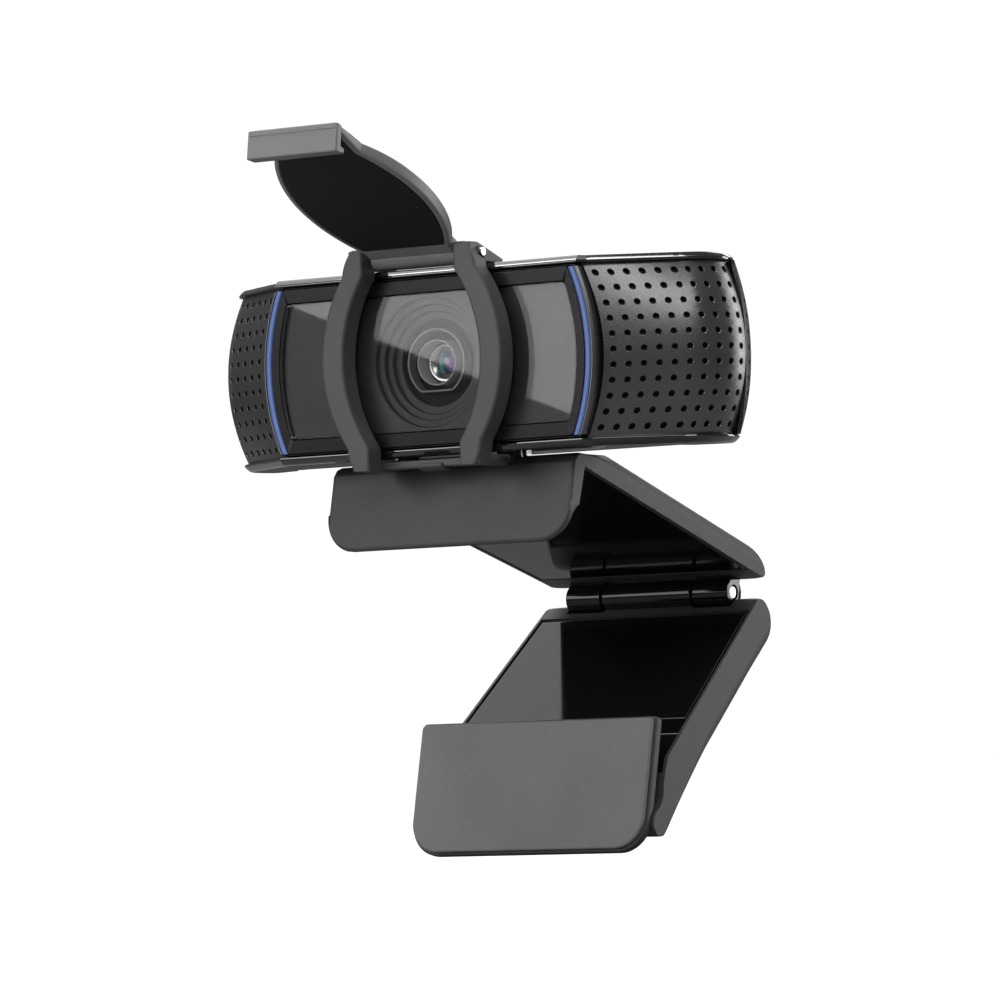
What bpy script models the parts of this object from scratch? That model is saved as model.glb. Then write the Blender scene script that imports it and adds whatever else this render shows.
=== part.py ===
"""Webcam with a folding screen clip and a flip-down privacy shutter.

Every outline below is in millimetres in the head's frame: X to the right as seen from the front, Y to the
rear, Z up, and zero on the lens axis at the plane of the light strips. The lens looks along -Y. The model
itself is in metres, with its origin at the middle of the rubber pad behind the clip's front lip.
"""

import math

import bmesh
import bpy

MM = 0.001
GAP = 0.3
ROUND_SIDES = 32

# Head
HEAD_HALF_HEIGHT = 14.5
END_RADIUS = 9.9
END_CENTRE = (37.1, 16.2)
WING_SWEEP = math.radians(25.8)
GRILLE_END_TURN = math.radians(56.0)
END_BOW = 1.8
PANEL_HALF_HEIGHT = 13.1
STRIP_END_X = 26.9
STRIP_BOW = 2.75
STRIP_WIDTH = 1.0
WALL = 1.3
SEAM_Y = 15.2
SEAM_HALF_HEIGHT = 14.3
COVER_THICK = 1.1
BACK_Y = 24.0
END_BACK_Y = 26.1
GLAND_RADIUS = 3.6

# Lens
RING_STEPS = ((10.0, 1.45), (8.9, 1.8), (7.9, 2.1), (6.7, 2.4))
MASK_FRONT_Y = 1.0
MASK_BACK_Y = 3.6
LENS_WELL_RADIUS = 5.0
LENS_WELL_FLAT_Z = -4.2

# Privacy shutter
BAR_FRONT_Y = -4.2
BAR_BACK_Y = -0.4
BAR_WIDTH = 4.0
BAR_INNER_END_X = 8.4
BAR_BOW = 4.2
BAR_BOW_HALF_HEIGHT = 13.2
BAR_BOW_MIDDLE_Z = 0.35
BAR_TOP_Z = 17.7
BAR_BOTTOM_Z = -16.5
LID_AXIS = (-1.2, 16.1)
LID_OPEN_ANGLE = math.radians(150.9)
LID_LENGTH = 36.8
LID_UNDER = -0.75
LID_OUTER = 1.45
LID_END_DROP = 1.3
LID_END_HALF_WIDTH = 7.95
LID_BOW = 3.9
LID_BOW_MIDDLE = 16.2
TAB_ANGLE = math.radians(261.0)
TAB_LENGTH = 4.5
TAB_HALF_WIDTH = 8.2

# Clip: angles are measured from +Y towards +Z
PIN_BORE = 0.95
TILT_AXIS = (9.5, -14.6)
LIP_FOOT = (3.33, -28.3)
LIP_ANGLE = math.radians(76.15)
LIP_TIP_THICK = 1.3
LIP_ROOT_THICK = 3.7
LIP_PAD_FACE = 4.2
LIP_PAD_RANGE = (1.4, 9.8)
APEX = (9.3, -17.1)
UPPER_ANGLE = math.radians(-16.7)
UPPER_THICK = 4.8
JAW_TOP_Z = -15.0
FRONT_HALF_WIDTH = 22.5
HINGE_HALF_WIDTH = 20.2
SIDE_ROUND = 3.0
CORNER_ROUND = 5.2
LINER_THICK = 0.8
RIM = 0.6
HINGE_AXIS = (63.6, -36.0)
KNUCKLE_RADIUS = 2.4
KNUCKLE_SPLIT_X = 8.6
KNUCKLE_END_X = 15.4
FOOT_AXIS = (27.6, -72.2)
LOWER_ANGLE = math.radians(37.3)
LOWER_FACE = 6.25
LOWER_FLOOR = 3.4
LOWER_BACK = -2.2
STEP_TOP_S = 18.7
STEP_FOOT_S = 16.2
TIP_RADIUS = 2.1
INSERT_S = 30.0
INSERT_RADIUS = 4.2
THREAD_RADIUS = 2.6
FOOT_FACE = 4.05
FOOT_TOP_S = 16.4
FOOT_BOTTOM_S = -5.1
FOOT_HALF_WIDTH = 22.0
FOOT_PAD_THICK = 0.7
FOOT_SHELL_THICK = 2.0
FOOT_LUG = (9.0, 13.0)


# ---------------------------------------------------------------- frames and outlines

def step_from(origin, angle, along, out):
    """The (y, z) point a distance along a direction, and out on the side a left turn points to."""
    c, s = math.cos(angle), math.sin(angle)
    return origin[0] + along * c - out * s, origin[1] + along * s + out * c


def lip_point(along, depth):
    """A point on the lip: along it from its lower edge, and depth behind its front face."""
    return step_from(LIP_FOOT, LIP_ANGLE, along, -depth)


def upper_point(along, height):
    """A point on the upper arm: along it from the apex, and height above its underside."""
    return step_from(APEX, UPPER_ANGLE, along, height)


def lower_point(along, height):
    """A point on the lower arm: along it from the foot's axis, and height towards the screen."""
    return step_from(FOOT_AXIS, LOWER_ANGLE, along, height)


def foot_point(along, height):
    """A point on the foot: along it upwards from its axis, and height towards the screen."""
    return step_from(FOOT_AXIS, LIP_ANGLE, along, height)


ORIGIN_YZ = lip_point(sum(LIP_PAD_RANGE) / 2, LIP_PAD_FACE)


def arc(centre, radius, start, end, steps):
    """Points on an arc, angles in degrees."""
    points = []
    for i in range(steps + 1):
        angle = math.radians(start + (end - start) * i / steps)
        points.append((centre[0] + radius * math.cos(angle), centre[1] + radius * math.sin(angle)))
    return points


def circle(centre, radius, sides=ROUND_SIDES):
    return arc(centre, radius, 0, 360, sides)[:-1]


def box_outline(low, high):
    return [(low[0], low[1]), (high[0], low[1]), (high[0], high[1]), (low[0], high[1])]


def rounded_box(low, high, radii, steps=5):
    """A rectangle whose four corners, from the lower left anticlockwise, have these radii."""
    corners = ((low[0], low[1], 1, 1, 180), (high[0], low[1], -1, 1, 270),
               (high[0], high[1], -1, -1, 0), (low[0], high[1], 1, -1, 90))
    points = []
    for (x, y, sx, sy, start), radius in zip(corners, radii):
        centre = (x + sx * radius, y + sy * radius)
        points += arc(centre, radius, start, start + 90, steps)
    return points


def bow(z, end_x, rise, half_height):
    """The x of a ')' shaped edge that bulges by rise over its half height."""
    radius = (half_height ** 2 + rise ** 2) / (2 * rise)
    z = max(-half_height, min(half_height, z))
    return end_x + rise - radius + math.sqrt(radius ** 2 - z ** 2)


def strip_x(z):
    return bow(z, STRIP_END_X, STRIP_BOW, PANEL_HALF_HEIGHT)


def bowed_panel(offset, half_height, steps=12):
    """The outline (x, z) of a panel between the two light strips, its sides moved out by offset."""
    heights = [half_height * (2 * i / steps - 1) for i in range(steps + 1)]
    right = [(strip_x(z) + offset, z) for z in heights]
    return right + [(-x, z) for x, z in reversed(right)]


# ---------------------------------------------------------------- meshes

class Place:
    """An empty on a joint's axis. The pieces of its body are parented to it."""

    def __init__(self, name, yz, parent=None):
        self.yz = yz
        self.empty = bpy.data.objects.new(name, None)
        bpy.context.scene.collection.objects.link(self.empty)
        base = parent.yz if parent else ORIGIN_YZ
        self.empty.parent = parent.empty if parent else None
        self.empty.location = (0, (yz[0] - base[0]) * MM, (yz[1] - base[1]) * MM)
        self.empty.empty_display_size = 0.01


def material(name, colour, roughness, metallic=0.0, transmission=0.0):
    made = bpy.data.materials.new(name)
    made.use_nodes = True
    shader = made.node_tree.nodes["Principled BSDF"]
    shader.inputs["Base Color"].default_value = (*colour, 1)
    shader.inputs["Roughness"].default_value = roughness
    shader.inputs["Metallic"].default_value = metallic
    shader.inputs["Transmission Weight"].default_value = transmission
    made.diffuse_color = (*colour, 1)
    return made


def add_mesh(name, place, finish, points, faces):
    """One named object from points in millimetres in the head's frame."""
    mesh = bpy.data.meshes.new(name)
    moved = [(x * MM, (y - place.yz[0]) * MM, (z - place.yz[1]) * MM) for x, y, z in points]
    mesh.from_pydata(moved, [], faces)
    work = bmesh.new()
    work.from_mesh(mesh)
    bmesh.ops.remove_doubles(work, verts=work.verts, dist=1e-7)
    bmesh.ops.recalc_face_normals(work, faces=work.faces)
    work.to_mesh(mesh)
    work.free()
    mesh.shade_smooth()
    mesh.set_sharp_from_angle(angle=math.radians(35))
    made = bpy.data.objects.new(name, mesh)
    bpy.context.scene.collection.objects.link(made)
    made.parent = place.empty
    if finish:
        mesh.materials.append(finish)
    return made


def loft(name, place, finish, rings):
    """A closed solid through rings of equally many points, with flat ends."""
    count = len(rings[0])
    points = [p for ring in rings for p in ring]
    faces = [list(range(count))[::-1], [len(points) - count + i for i in range(count)]]
    for r in range(len(rings) - 1):
        for i in range(count):
            j = (i + 1) % count
            faces.append([r * count + i, r * count + j, (r + 1) * count + j, (r + 1) * count + i])
    return add_mesh(name, place, finish, points, faces)


def prism(name, place, finish, outline, axis, low, high):
    """An outline pushed along an axis. It holds (y, z) for X, (x, z) for Y and (x, y) for Z."""
    def spread(a, b, along):
        if axis == "X":
            return along, a, b
        if axis == "Y":
            return a, along, b
        return a, b, along

    rings = [[spread(a, b, along) for a, b in outline] for along in (low, high)]
    return loft(name, place, finish, rings)


def turned(name, place, finish, profile, centre, axis="Y", sides=ROUND_SIDES):
    """A closed profile of (radius, position along the axis) turned round an axis through centre."""
    points = []
    for i in range(sides):
        angle = 2 * math.pi * i / sides
        c, s = math.cos(angle), math.sin(angle)
        for radius, along in profile:
            if axis == "Y":
                points.append((centre[0] + radius * c, along, centre[1] + radius * s))
            elif axis == "X":
                points.append((along, centre[0] + radius * c, centre[1] + radius * s))
            else:
                points.append((centre[0] + radius * c, centre[1] + radius * s, along))
    count = len(profile)
    faces = []
    for i in range(sides):
        k = (i + 1) % sides
        for a in range(count):
            b = (a + 1) % count
            if profile[a][0] == 0 and profile[b][0] == 0:
                continue
            quad = [i * count + a, i * count + b, k * count + b, k * count + a]
            faces.append(quad)
    return add_mesh(name, place, finish, points, faces)


def rod(name, place, finish, centre, radius, low, high, axis="X", sides=20):
    return prism(name, place, finish, circle(centre, radius, sides), axis, low, high)


def skin(name, place, finish, outer, inner):
    """A closed wall between two grids of points that have the same rows and columns."""
    rows, columns = len(outer), len(outer[0])
    points = [p for row in outer for p in row] + [p for row in inner for p in row]
    back = rows * columns
    faces = []
    for r in range(rows - 1):
        for c in range(columns - 1):
            a, b = r * columns + c, r * columns + c + 1
            quad = [a, b, b + columns, a + columns]
            faces.append(quad)
            faces.append([back + k for k in reversed(quad)])
    edge = [(0, c) for c in range(columns)] + [(r, columns - 1) for r in range(1, rows)]
    edge += [(rows - 1, c) for c in range(columns - 2, -1, -1)] + [(r, 0) for r in range(rows - 2, 0, -1)]
    for i, (r, c) in enumerate(edge):
        s, d = edge[(i + 1) % len(edge)]
        a, b = r * columns + c, s * columns + d
        faces.append([a, b, back + b, back + a])
    return add_mesh(name, place, finish, points, faces)


def boolean(target, operation, tools):
    for tool in tools:
        change = target.modifiers.new(tool.name, "BOOLEAN")
        change.operation = operation
        change.object = tool
        change.solver = "EXACT"
        tool.hide_render = True
        tool.display_type = "WIRE"
    return target


def cut(target, *tools):
    return boolean(target, "DIFFERENCE", tools)


def join(target, *tools):
    return boolean(target, "UNION", tools)


# ---------------------------------------------------------------- head surfaces

def wing_line_y(x, inset=0.0):
    """The plan position of a wing's straight front at x, moved in by inset."""
    nx, ny = math.sin(WING_SWEEP), -math.cos(WING_SWEEP)
    return END_CENTRE[1] + (END_RADIUS - inset - nx * (x - END_CENTRE[0])) / ny


TANGENT_X = END_CENTRE[0] + END_RADIUS * math.sin(WING_SWEEP)


def end_inset(x, z):
    """How far the bowed ends come in at height z, growing from the wing's root."""
    share = max(0.0, min(1.0, (x - 28.0) / (TANGENT_X - 28.0)))
    return END_BOW * share * (z / PANEL_HALF_HEIGHT) ** 2


def wing_point(share, z, depth=0.0):
    """A point on a right wing's face: share 0 at its root, 1 at its rear edge."""
    root_x = strip_x(z) + 1.8
    straight = (TANGENT_X - root_x) / math.cos(WING_SWEEP)
    curved = END_RADIUS * GRILLE_END_TURN
    run = share * (straight + curved)
    if run <= straight:
        x = root_x + run * math.cos(WING_SWEEP)
        y, turn = wing_line_y(x), -math.pi / 2 + WING_SWEEP
    else:
        turn = -math.pi / 2 + WING_SWEEP + (run - straight) / END_RADIUS
        x = END_CENTRE[0] + END_RADIUS * math.cos(turn)
        y = END_CENTRE[1] + END_RADIUS * math.sin(turn)
    inset = end_inset(x, z) + depth
    return x - inset * math.cos(turn), y - inset * math.sin(turn), z


def front_y(x, z):
    """The front edge of the head at x and height z."""
    inset = end_inset(x, z)
    if x <= TANGENT_X:
        return max(0.0, wing_line_y(x, inset))
    radius = END_RADIUS - inset
    return END_CENTRE[1] - math.sqrt(max(0.0, radius ** 2 - (x - END_CENTRE[0]) ** 2))


def back_surface(wall, flat_columns=8, arc_columns=6, rows=11):
    """The rear shell's grid of points, moved in by wall: nearly flat behind, with round ends."""
    grid = []
    seam_turn = math.asin((SEAM_Y - END_CENTRE[1]) / END_RADIUS)
    for r in range(rows):
        v = math.sin(math.pi / 2 * (2 * r / (rows - 1) - 1))
        swell = math.sqrt(1 - 0.98 * abs(v) ** 3)
        radius = END_RADIUS - wall - END_BOW * v * v
        half = []
        for c in range(flat_columns // 2 + 1):
            x = END_CENTRE[0] * 2 * c / flat_columns
            half.append((x, BACK_Y + (END_BACK_Y - BACK_Y) * (x / END_CENTRE[0]) ** 2 - wall))
        for c in range(1, arc_columns + 1):
            turn = math.pi / 2 + (seam_turn - math.pi / 2) * c / arc_columns
            half.append((END_CENTRE[0] + radius * math.cos(turn), END_CENTRE[1] + radius * math.sin(turn)))
        half[-1] = (half[-1][0], SEAM_Y)
        z = v * (SEAM_HALF_HEIGHT - wall)
        row = [(x, SEAM_Y + max(0.0, y - SEAM_Y) * swell, z) for x, y in half]
        grid.append([(-x, y, z) for x, y, z in reversed(row[1:])] + row)
    return grid


# ---------------------------------------------------------------- head

def build_head(place, look):
    rear = skin("rear_shell", place, look["shell"], back_surface(0.0), back_surface(WALL))
    gland_hole = rod("gland_hole", place, None, (0, 2.0), GLAND_RADIUS + GAP, 18, 30, "Y")
    cut(rear, gland_hole)
    turned("cable_gland", place, look["rubber"],
           [(2.2, 20.0), (GLAND_RADIUS + 1.2, 20.0), (GLAND_RADIUS + 1.2, 21.2), (GLAND_RADIUS, 21.2),
            (GLAND_RADIUS, 25.2), (3.0, 27.2), (2.2, 27.2)], (0, 2.0))
    build_covers(place, look)
    for side, name in ((-1, "left"), (1, "right")):
        build_wing(place, look, side, name)
    build_front(place, look)
    build_camera(place, look)


def cover_ring(x, flip):
    """The section of the top cover at x, or of the bottom cover if flip is -1."""
    front = front_y(abs(x), HEAD_HALF_HEIGHT)
    top, low = HEAD_HALF_HEIGHT, HEAD_HALF_HEIGHT - COVER_THICK
    back = SEAM_Y - GAP
    section = [(front + 0.1, low), (front, low + 0.5), (front + 0.5, top), (back - 0.4, top),
               (back, top - 0.3), (back, low)]
    return [(x, y, z * flip) for y, z in section]


def build_covers(place, look):
    reach = 44.1
    stations = [reach * math.sin(math.pi / 2 * i / 11) for i in range(-11, 12)]
    for flip, name in ((1, "top_cover"), (-1, "bottom_cover")):
        cover = loft(name, place, look["gloss"], [cover_ring(x, flip) for x in stations])
        if flip < 0:
            slot = prism("hinge_slot", place, None, box_outline((-12.7, 7.5), (12.7, 11.5)), "Z", -16, -12)
            holes = [rod("screw_hole", place, None, (x, 13.0), 1.1, -16, -11, "Z") for x in (-6, 6)]
            cut(cover, slot, *holes)


def build_wing(place, look, side, name):
    rows, columns = 9, 12
    heights = [PANEL_HALF_HEIGHT * (2 * r / (rows - 1) - 1) for r in range(rows)]
    outer = [[wing_point(c / columns, z) for c in range(columns + 1)] for z in heights]
    inner = [[wing_point(c / columns, z, WALL) for c in range(columns + 1)] for z in heights]
    grids = [[[(side * x, y, z) for x, y, z in row] for row in grid] for grid in (outer, inner)]
    skin("grille_" + name, place, look["grille"], *grids)

    half = STRIP_WIDTH / 2
    heights = [(PANEL_HALF_HEIGHT - 0.35) * (i / 8 - 1) for i in range(17)]
    outline = [(side * (strip_x(z) + half), z) for z in heights]
    outline += [(side * (strip_x(z) - half), z) for z in reversed(heights)]
    prism("light_strip_" + name, place, look["light"], outline, "Y", -0.05, 0.8)
    rod("microphone_" + name, place, look["metal"], (side * 36.0, 0), 2.0, 8.2, 10.6, "Y")


def build_front(place, look):
    frame = prism("front_frame", place, look["gloss"], bowed_panel(1.1, PANEL_HALF_HEIGHT), "Y", 0.1, 4.8)
    rebate = prism("window_rebate", place, None, bowed_panel(STRIP_WIDTH / 2 + 0.2, 12.9), "Y", -1, 1.1)
    opening = prism("frame_opening", place, None, bowed_panel(-2.0, 11.6), "Y", 0.5, 6)
    cut(frame, rebate, opening)
    prism("front_window", place, look["window"], bowed_panel(-STRIP_WIDTH / 2 - 0.2, 12.75), "Y", -0.1, 0.75)

    mask = prism("inner_mask", place, look["mask"], bowed_panel(-2.3, 11.3), "Y", MASK_FRONT_Y, MASK_BACK_Y)
    rings = []
    for i, (radius, depth) in enumerate(RING_STEPS):
        rings.append(rod("ring_step_%d" % i, place, None, (0, 0), radius, 0, depth, "Y", 48))
    flat = math.degrees(math.asin(LENS_WELL_FLAT_Z / LENS_WELL_RADIUS))
    well = arc((0, 0), LENS_WELL_RADIUS, flat, 180 - flat, 30)
    cut(mask, *rings, prism("lens_well", place, None, well, "Y", 0, 6))


def build_camera(place, look):
    turned("lens_trim_ring", place, look["metal"],
           [(2.45, 5.0), (3.3, 5.0), (3.5, 5.4), (3.5, 6.4), (2.45, 6.4)], (0, 0))
    turned("lens_barrel", place, look["shell"],
           [(2.45, 6.7), (3.9, 6.7), (3.9, 8.4), (4.4, 8.4), (4.4, 11.0), (2.45, 11.0)], (0, 0))
    dome = [(0, 5.2), (0.9, 5.3), (1.6, 5.55), (2.15, 5.95), (2.15, 9.0), (0, 9.0)]
    turned("lens_front_element", place, look["window"], dome, (0, 0))
    holder = prism("lens_holder", place, look["shell"], box_outline((-6.5, -6.5), (6.5, 6.5)), "Y", 8.9, 11.9)
    cut(holder, rod("holder_bore", place, None, (0, 0), 4.7, 8, 11.3, "Y"),
        rod("light_path", place, None, (0, 0), 3.4, 8, 13, "Y"))
    prism("image_sensor", place, look["metal"], box_outline((-2.6, -1.9), (2.6, 1.9)), "Y", 11.3, 12.1)
    prism("sensor_board", place, look["board"], box_outline((-8, -7.5), (8, 7.5)), "Y", 12.4, 13.4)
    prism("main_board", place, look["board"], box_outline((-22, -8.5), (22, 8.5)), "Y", 16.4, 17.6)


# ---------------------------------------------------------------- tilt hinge

def build_tilt_bracket(place, look):
    plate = prism("tilt_bracket", place, look["metal"],
                  rounded_box((-9.0, 5.6), (9.0, 14.3), (1, 1, 1, 1), 3), "Z", -12.6, -11.6)
    barrel = rod("tilt_barrel", place, None, TILT_AXIS, 1.5, -7.3, 7.3)
    web = prism("tilt_web", place, None, box_outline((8.3, -14.6), (10.7, -12.1)), "X", -7.3, 7.3)
    join(plate, web, barrel)
    holes = [rod("bracket_hole", place, None, (x, 13.0), 1.1, -14, -11, "Z") for x in (-6, 6)]
    cut(plate, rod("tilt_bore", place, None, TILT_AXIS, PIN_BORE, -9, 9), *holes)
    for i, x in enumerate((-6, 6)):
        turned("bracket_screw_%d" % (i + 1), place, look["metal"],
               [(0, -14.1), (0.8, -14.1), (0.8, -11.3), (1.7, -11.3), (1.5, -10.4), (0, -10.4)],
               (x, 13.0), "Z", 16)


def build_tilt_axle(place, look):
    rod("tilt_axle", place, look["metal"], TILT_AXIS, 0.65, -12.2, 12.2)
    for side, name in ((-1, "left"), (1, "right")):
        turned("friction_washer_" + name, place, look["metal"],
               [(0.9, side * 11.25), (1.45, side * 11.25), (1.45, side * 11.75), (0.9, side * 11.75)],
               TILT_AXIS, "X", 20)


# ---------------------------------------------------------------- privacy shutter

def bar_outline(side):
    """The front outline (x, z) of one bracket-shaped bar."""
    bowed = [BAR_BOW_HALF_HEIGHT * (1 - i / 6) for i in range(13)]
    inner = [(BAR_INNER_END_X, BAR_TOP_Z)]
    inner += [(bow(z, BAR_INNER_END_X, BAR_BOW, BAR_BOW_HALF_HEIGHT), z + BAR_BOW_MIDDLE_Z) for z in bowed]
    inner.append((BAR_INNER_END_X, BAR_BOTTOM_Z))
    outline = inner + [(x + BAR_WIDTH, z) for x, z in reversed(inner)]
    return [(side * x, z) for x, z in outline]


def build_shutter_frame(place, look):
    frame = prism("shutter_frame", place, look["shutter"], bar_outline(1), "Y", BAR_FRONT_Y, BAR_BACK_Y)
    other = prism("left_bar", place, None, bar_outline(-1), "Y", BAR_FRONT_Y, BAR_BACK_Y)
    top_bar = prism("top_crossbar", place, None, box_outline((1.2, 14.8), (5.2, 15.9)), "X", -9, 9)
    low_bar = prism("low_crossbar", place, None, box_outline((0.6, -16.2), (4.8, -15.0)), "X", -9, 9)
    parts = [other, top_bar, low_bar]
    over, under = HEAD_HALF_HEIGHT + GAP, -HEAD_HALF_HEIGHT - GAP
    ear = [(BAR_FRONT_Y + 0.4, over - 2), (BAR_BACK_Y - 0.3, over - 2), (BAR_BACK_Y - 0.3, over),
           (5.6, over), (5.6, over + 0.5), (-1.6, BAR_TOP_Z - 0.1), (BAR_FRONT_Y + 0.4, BAR_TOP_Z - 0.1)]
    hook = [(BAR_FRONT_Y + 0.4, under + 2), (BAR_BACK_Y - 0.3, under + 2), (BAR_BACK_Y - 0.3, under),
            (5.2, under), (5.2, under - 1.3), (4.6, BAR_BOTTOM_Z + 0.1),
            (BAR_FRONT_Y + 0.4, BAR_BOTTOM_Z + 0.1)]
    for side in (-1, 1):
        low, high = sorted((side * (BAR_INNER_END_X + 0.2), side * (BAR_INNER_END_X + BAR_WIDTH - 0.2)))
        parts.append(prism("ear", place, None, ear, "X", low, high))
        parts.append(prism("hook", place, None, hook, "X", low, high))
    join(frame, *parts)
    cut(frame, rod("ear_bore", place, None, LID_AXIS, PIN_BORE, -14, 14))


def lid_point(along, out):
    """A point on the open lid: along it from its axis, and out on its outer side."""
    return step_from(LID_AXIS, LID_OPEN_ANGLE, along, -out)


def lid_half_width(along):
    """The lid's sides follow the bars when it is closed."""
    return bow(along - LID_BOW_MIDDLE, LID_END_HALF_WIDTH, LID_BOW, BAR_BOW_HALF_HEIGHT)


def lid_outer(along):
    """The height of the lid's outer face over its axis: flat, then falling a little towards the tab."""
    share = max(0.0, (along - 22.0) / (LID_LENGTH - 22.0))
    return LID_OUTER - LID_END_DROP * share ** 2


def build_lid(place, look):
    bulge = [LID_BOW_MIDDLE - BAR_BOW_HALF_HEIGHT * (1 - i / 6) for i in range(13)]
    stations = [1.6] + bulge + [33.0, LID_LENGTH - 0.2]
    rings = []
    for along in stations:
        half = lid_half_width(along)
        top, low = lid_point(along, lid_outer(along)), lid_point(along, LID_UNDER)
        rings.append([(-half, *low), (half, *low), (half, *top), (-half, *top)])
    lid = loft("shutter_lid", place, look["shutter"], rings)

    corner = lid_point(LID_LENGTH, lid_outer(LID_LENGTH))
    profile = ((0, 0), (TAB_LENGTH, 0), (TAB_LENGTH, 2.2), (TAB_LENGTH - 0.9, 2.2),
               (TAB_LENGTH - 1.0, 1.3), (0.3, 1.3))
    tab = [step_from(corner, TAB_ANGLE, a, h) for a, h in profile]
    barrel = rod("lid_barrel", place, None, LID_AXIS, 1.45, -7.9, 7.9)
    web = ((0.3, LID_UNDER + 0.1), (2.4, LID_UNDER + 0.2), (2.4, 1.2), (0.3, 1.3))
    web = [lid_point(a, h) for a, h in web]
    join(lid, prism("tab", place, None, tab, "X", -TAB_HALF_WIDTH, TAB_HALF_WIDTH),
         barrel, prism("lid_web", place, None, web, "X", -7.9, 7.9))
    cut(lid, rod("lid_bore", place, None, LID_AXIS, PIN_BORE, -9, 9))


# ---------------------------------------------------------------- clip

def side_round(distance, radius):
    """How far a rounded edge has fallen at this distance in from the side."""
    if distance >= radius:
        return 0.0
    return radius - math.sqrt(radius ** 2 - (radius - distance) ** 2)


SIDE_STATIONS = (0.0, 0.25, 0.8, 1.6, 3.0, 5.2)


def across(section, width):
    """Rings across the clip. section(distance from the side) gives tagged (y, z), width(y) the half width."""
    rings = []
    for side in (-1, 1):
        stations = SIDE_STATIONS if side < 0 else SIDE_STATIONS[::-1]
        for distance in stations:
            rings.append([(side * (width(y) - distance), y, z) for y, z in section(distance)])
    return rings


def upper_half_width(y):
    share = max(0.0, min(1.0, (y - 9.0) / 55.0))
    return FRONT_HALF_WIDTH - (FRONT_HALF_WIDTH - HINGE_HALF_WIDTH) * share


def lower_half_width(y):
    share = max(0.0, min(1.0, (y - 26.0) / 38.0))
    return FRONT_HALF_WIDTH - (FRONT_HALF_WIDTH - HINGE_HALF_WIDTH) * share


def jaw_section(distance):
    """The upper jaw's side outline, at this distance in from its side."""
    fall = side_round(distance, SIDE_ROUND)
    lift = side_round(distance, CORNER_ROUND)
    tip = LIP_TIP_THICK / 2
    points = []
    for step in range(5):
        angle = math.pi * (1 - step / 4)
        points.append(lip_point(tip - tip * math.sin(angle) + lift, tip - tip * math.cos(angle)))
    soft = side_round(distance, 0.8)
    for along in (4.0, 8.0, 12.3):
        points.append(lip_point(max(along, lift + 1.0 + along * 0.01), soft * 0.5))
    bend_y = 18.9
    points.append((7.4, JAW_TOP_Z - 0.3 - soft * 0.3))
    points.append((8.3, JAW_TOP_Z - soft * 0.3))
    points.append((13.0, JAW_TOP_Z - fall * 0.25))
    points.append((bend_y, JAW_TOP_Z - fall))
    share = fall / UPPER_THICK
    hinge_end = ((35.0, 4.8), (54.5, 4.8), (56.8, 4.6), (58.3, 3.9), (59.3, 2.8), (59.6, 1.5), (59.2, 0.4),
                 (58.6, 0.0))
    for along, height in hinge_end:
        pull = 0.4 * fall * max(0.0, along - 54.5) / 5
        points.append(upper_point(along - pull, height * (1 - share)))
    points.append(upper_point(30.0, 0.0))
    points.append(APEX)
    points.append(lip_point(max(6.0, lift + 0.9), LIP_TIP_THICK + (LIP_ROOT_THICK - LIP_TIP_THICK) * 0.5))
    return points


def build_jaw(place, look):
    shell = loft("upper_jaw_shell", place, look["clip"], across(jaw_section, upper_half_width))
    pocket_rings, liner_rings = [], []
    for margin, rings, low, high, start, end in (
            (RIM, pocket_rings, -1.0, LINER_THICK + GAP, 1.2, 54.0),
            (RIM + GAP, liner_rings, 0.0, LINER_THICK, 1.6, 53.6)):
        for along in (start, (start + end) / 2, end):
            a, b = upper_point(along, low), upper_point(along, high)
            half = upper_half_width(a[0]) - margin
            rings.append([(-half, *a), (half, *a), (half, *b), (-half, *b)])
    pocket = loft("liner_pocket", place, None, pocket_rings)
    loft("upper_jaw_liner", place, look["gloss"], liner_rings)

    low, high = LIP_PAD_RANGE
    slope = (LIP_ROOT_THICK - LIP_TIP_THICK) / 11.0

    def depth_at(along):
        return LIP_TIP_THICK + slope * along

    pad_pocket = [lip_point(low - 0.3, depth_at(low) - 0.7), lip_point(high + 0.3, depth_at(high) - 0.7),
                  lip_point(high + 0.3, 8), lip_point(low - 0.3, 8)]
    pad = [lip_point(low, depth_at(low) - 0.4), lip_point(high, depth_at(high) - 0.4),
           lip_point(high, LIP_PAD_FACE), lip_point(low, LIP_PAD_FACE)]
    pad_cut = prism("pad_pocket", place, None, pad_pocket, "X", -17.3, 17.3)
    prism("lip_pad", place, look["rubber"], pad, "X", -17.0, 17.0)

    notch = rod("hinge_notch", place, None, TILT_AXIS, 1.95, -12.7, 12.7)
    cut(shell, pocket, pad_cut, notch)
    lugs = []
    for side in (-1, 1):
        low_x, high_x = sorted((side * 7.7, side * 10.95))
        foot = box_outline((6.9, -16.0), (12.1, -15.2))
        post = box_outline((8.1, -15.6), (10.9, -14.6))
        lugs.append(prism("tilt_lug", place, None, foot, "X", low_x, high_x))
        lugs.append(prism("tilt_post", place, None, post, "X", low_x, high_x))
        lugs.append(rod("tilt_eye", place, None, TILT_AXIS, 1.5, low_x, high_x))
        low_x, high_x = sorted((side * (KNUCKLE_SPLIT_X + 0.2), side * KNUCKLE_END_X))
        lugs.append(rod("jaw_knuckle", place, None, HINGE_AXIS, KNUCKLE_RADIUS, low_x, high_x))
        block = [upper_point(a, h) for a, h in ((55.6, 1.0), (55.6, -2.4), (59.2, -2.4), (59.0, 1.0))]
        lugs.append(prism("knuckle_block", place, None, block, "X", low_x, high_x))
    join(shell, *lugs)
    cut(shell, rod("tilt_hole", place, None, TILT_AXIS, PIN_BORE, -14, 14),
        rod("hinge_hole", place, None, HINGE_AXIS, 1.25, -17, 17))
    rod("main_hinge_pin", place, look["metal"], HINGE_AXIS, 0.95, -15.2, 15.2)


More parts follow.
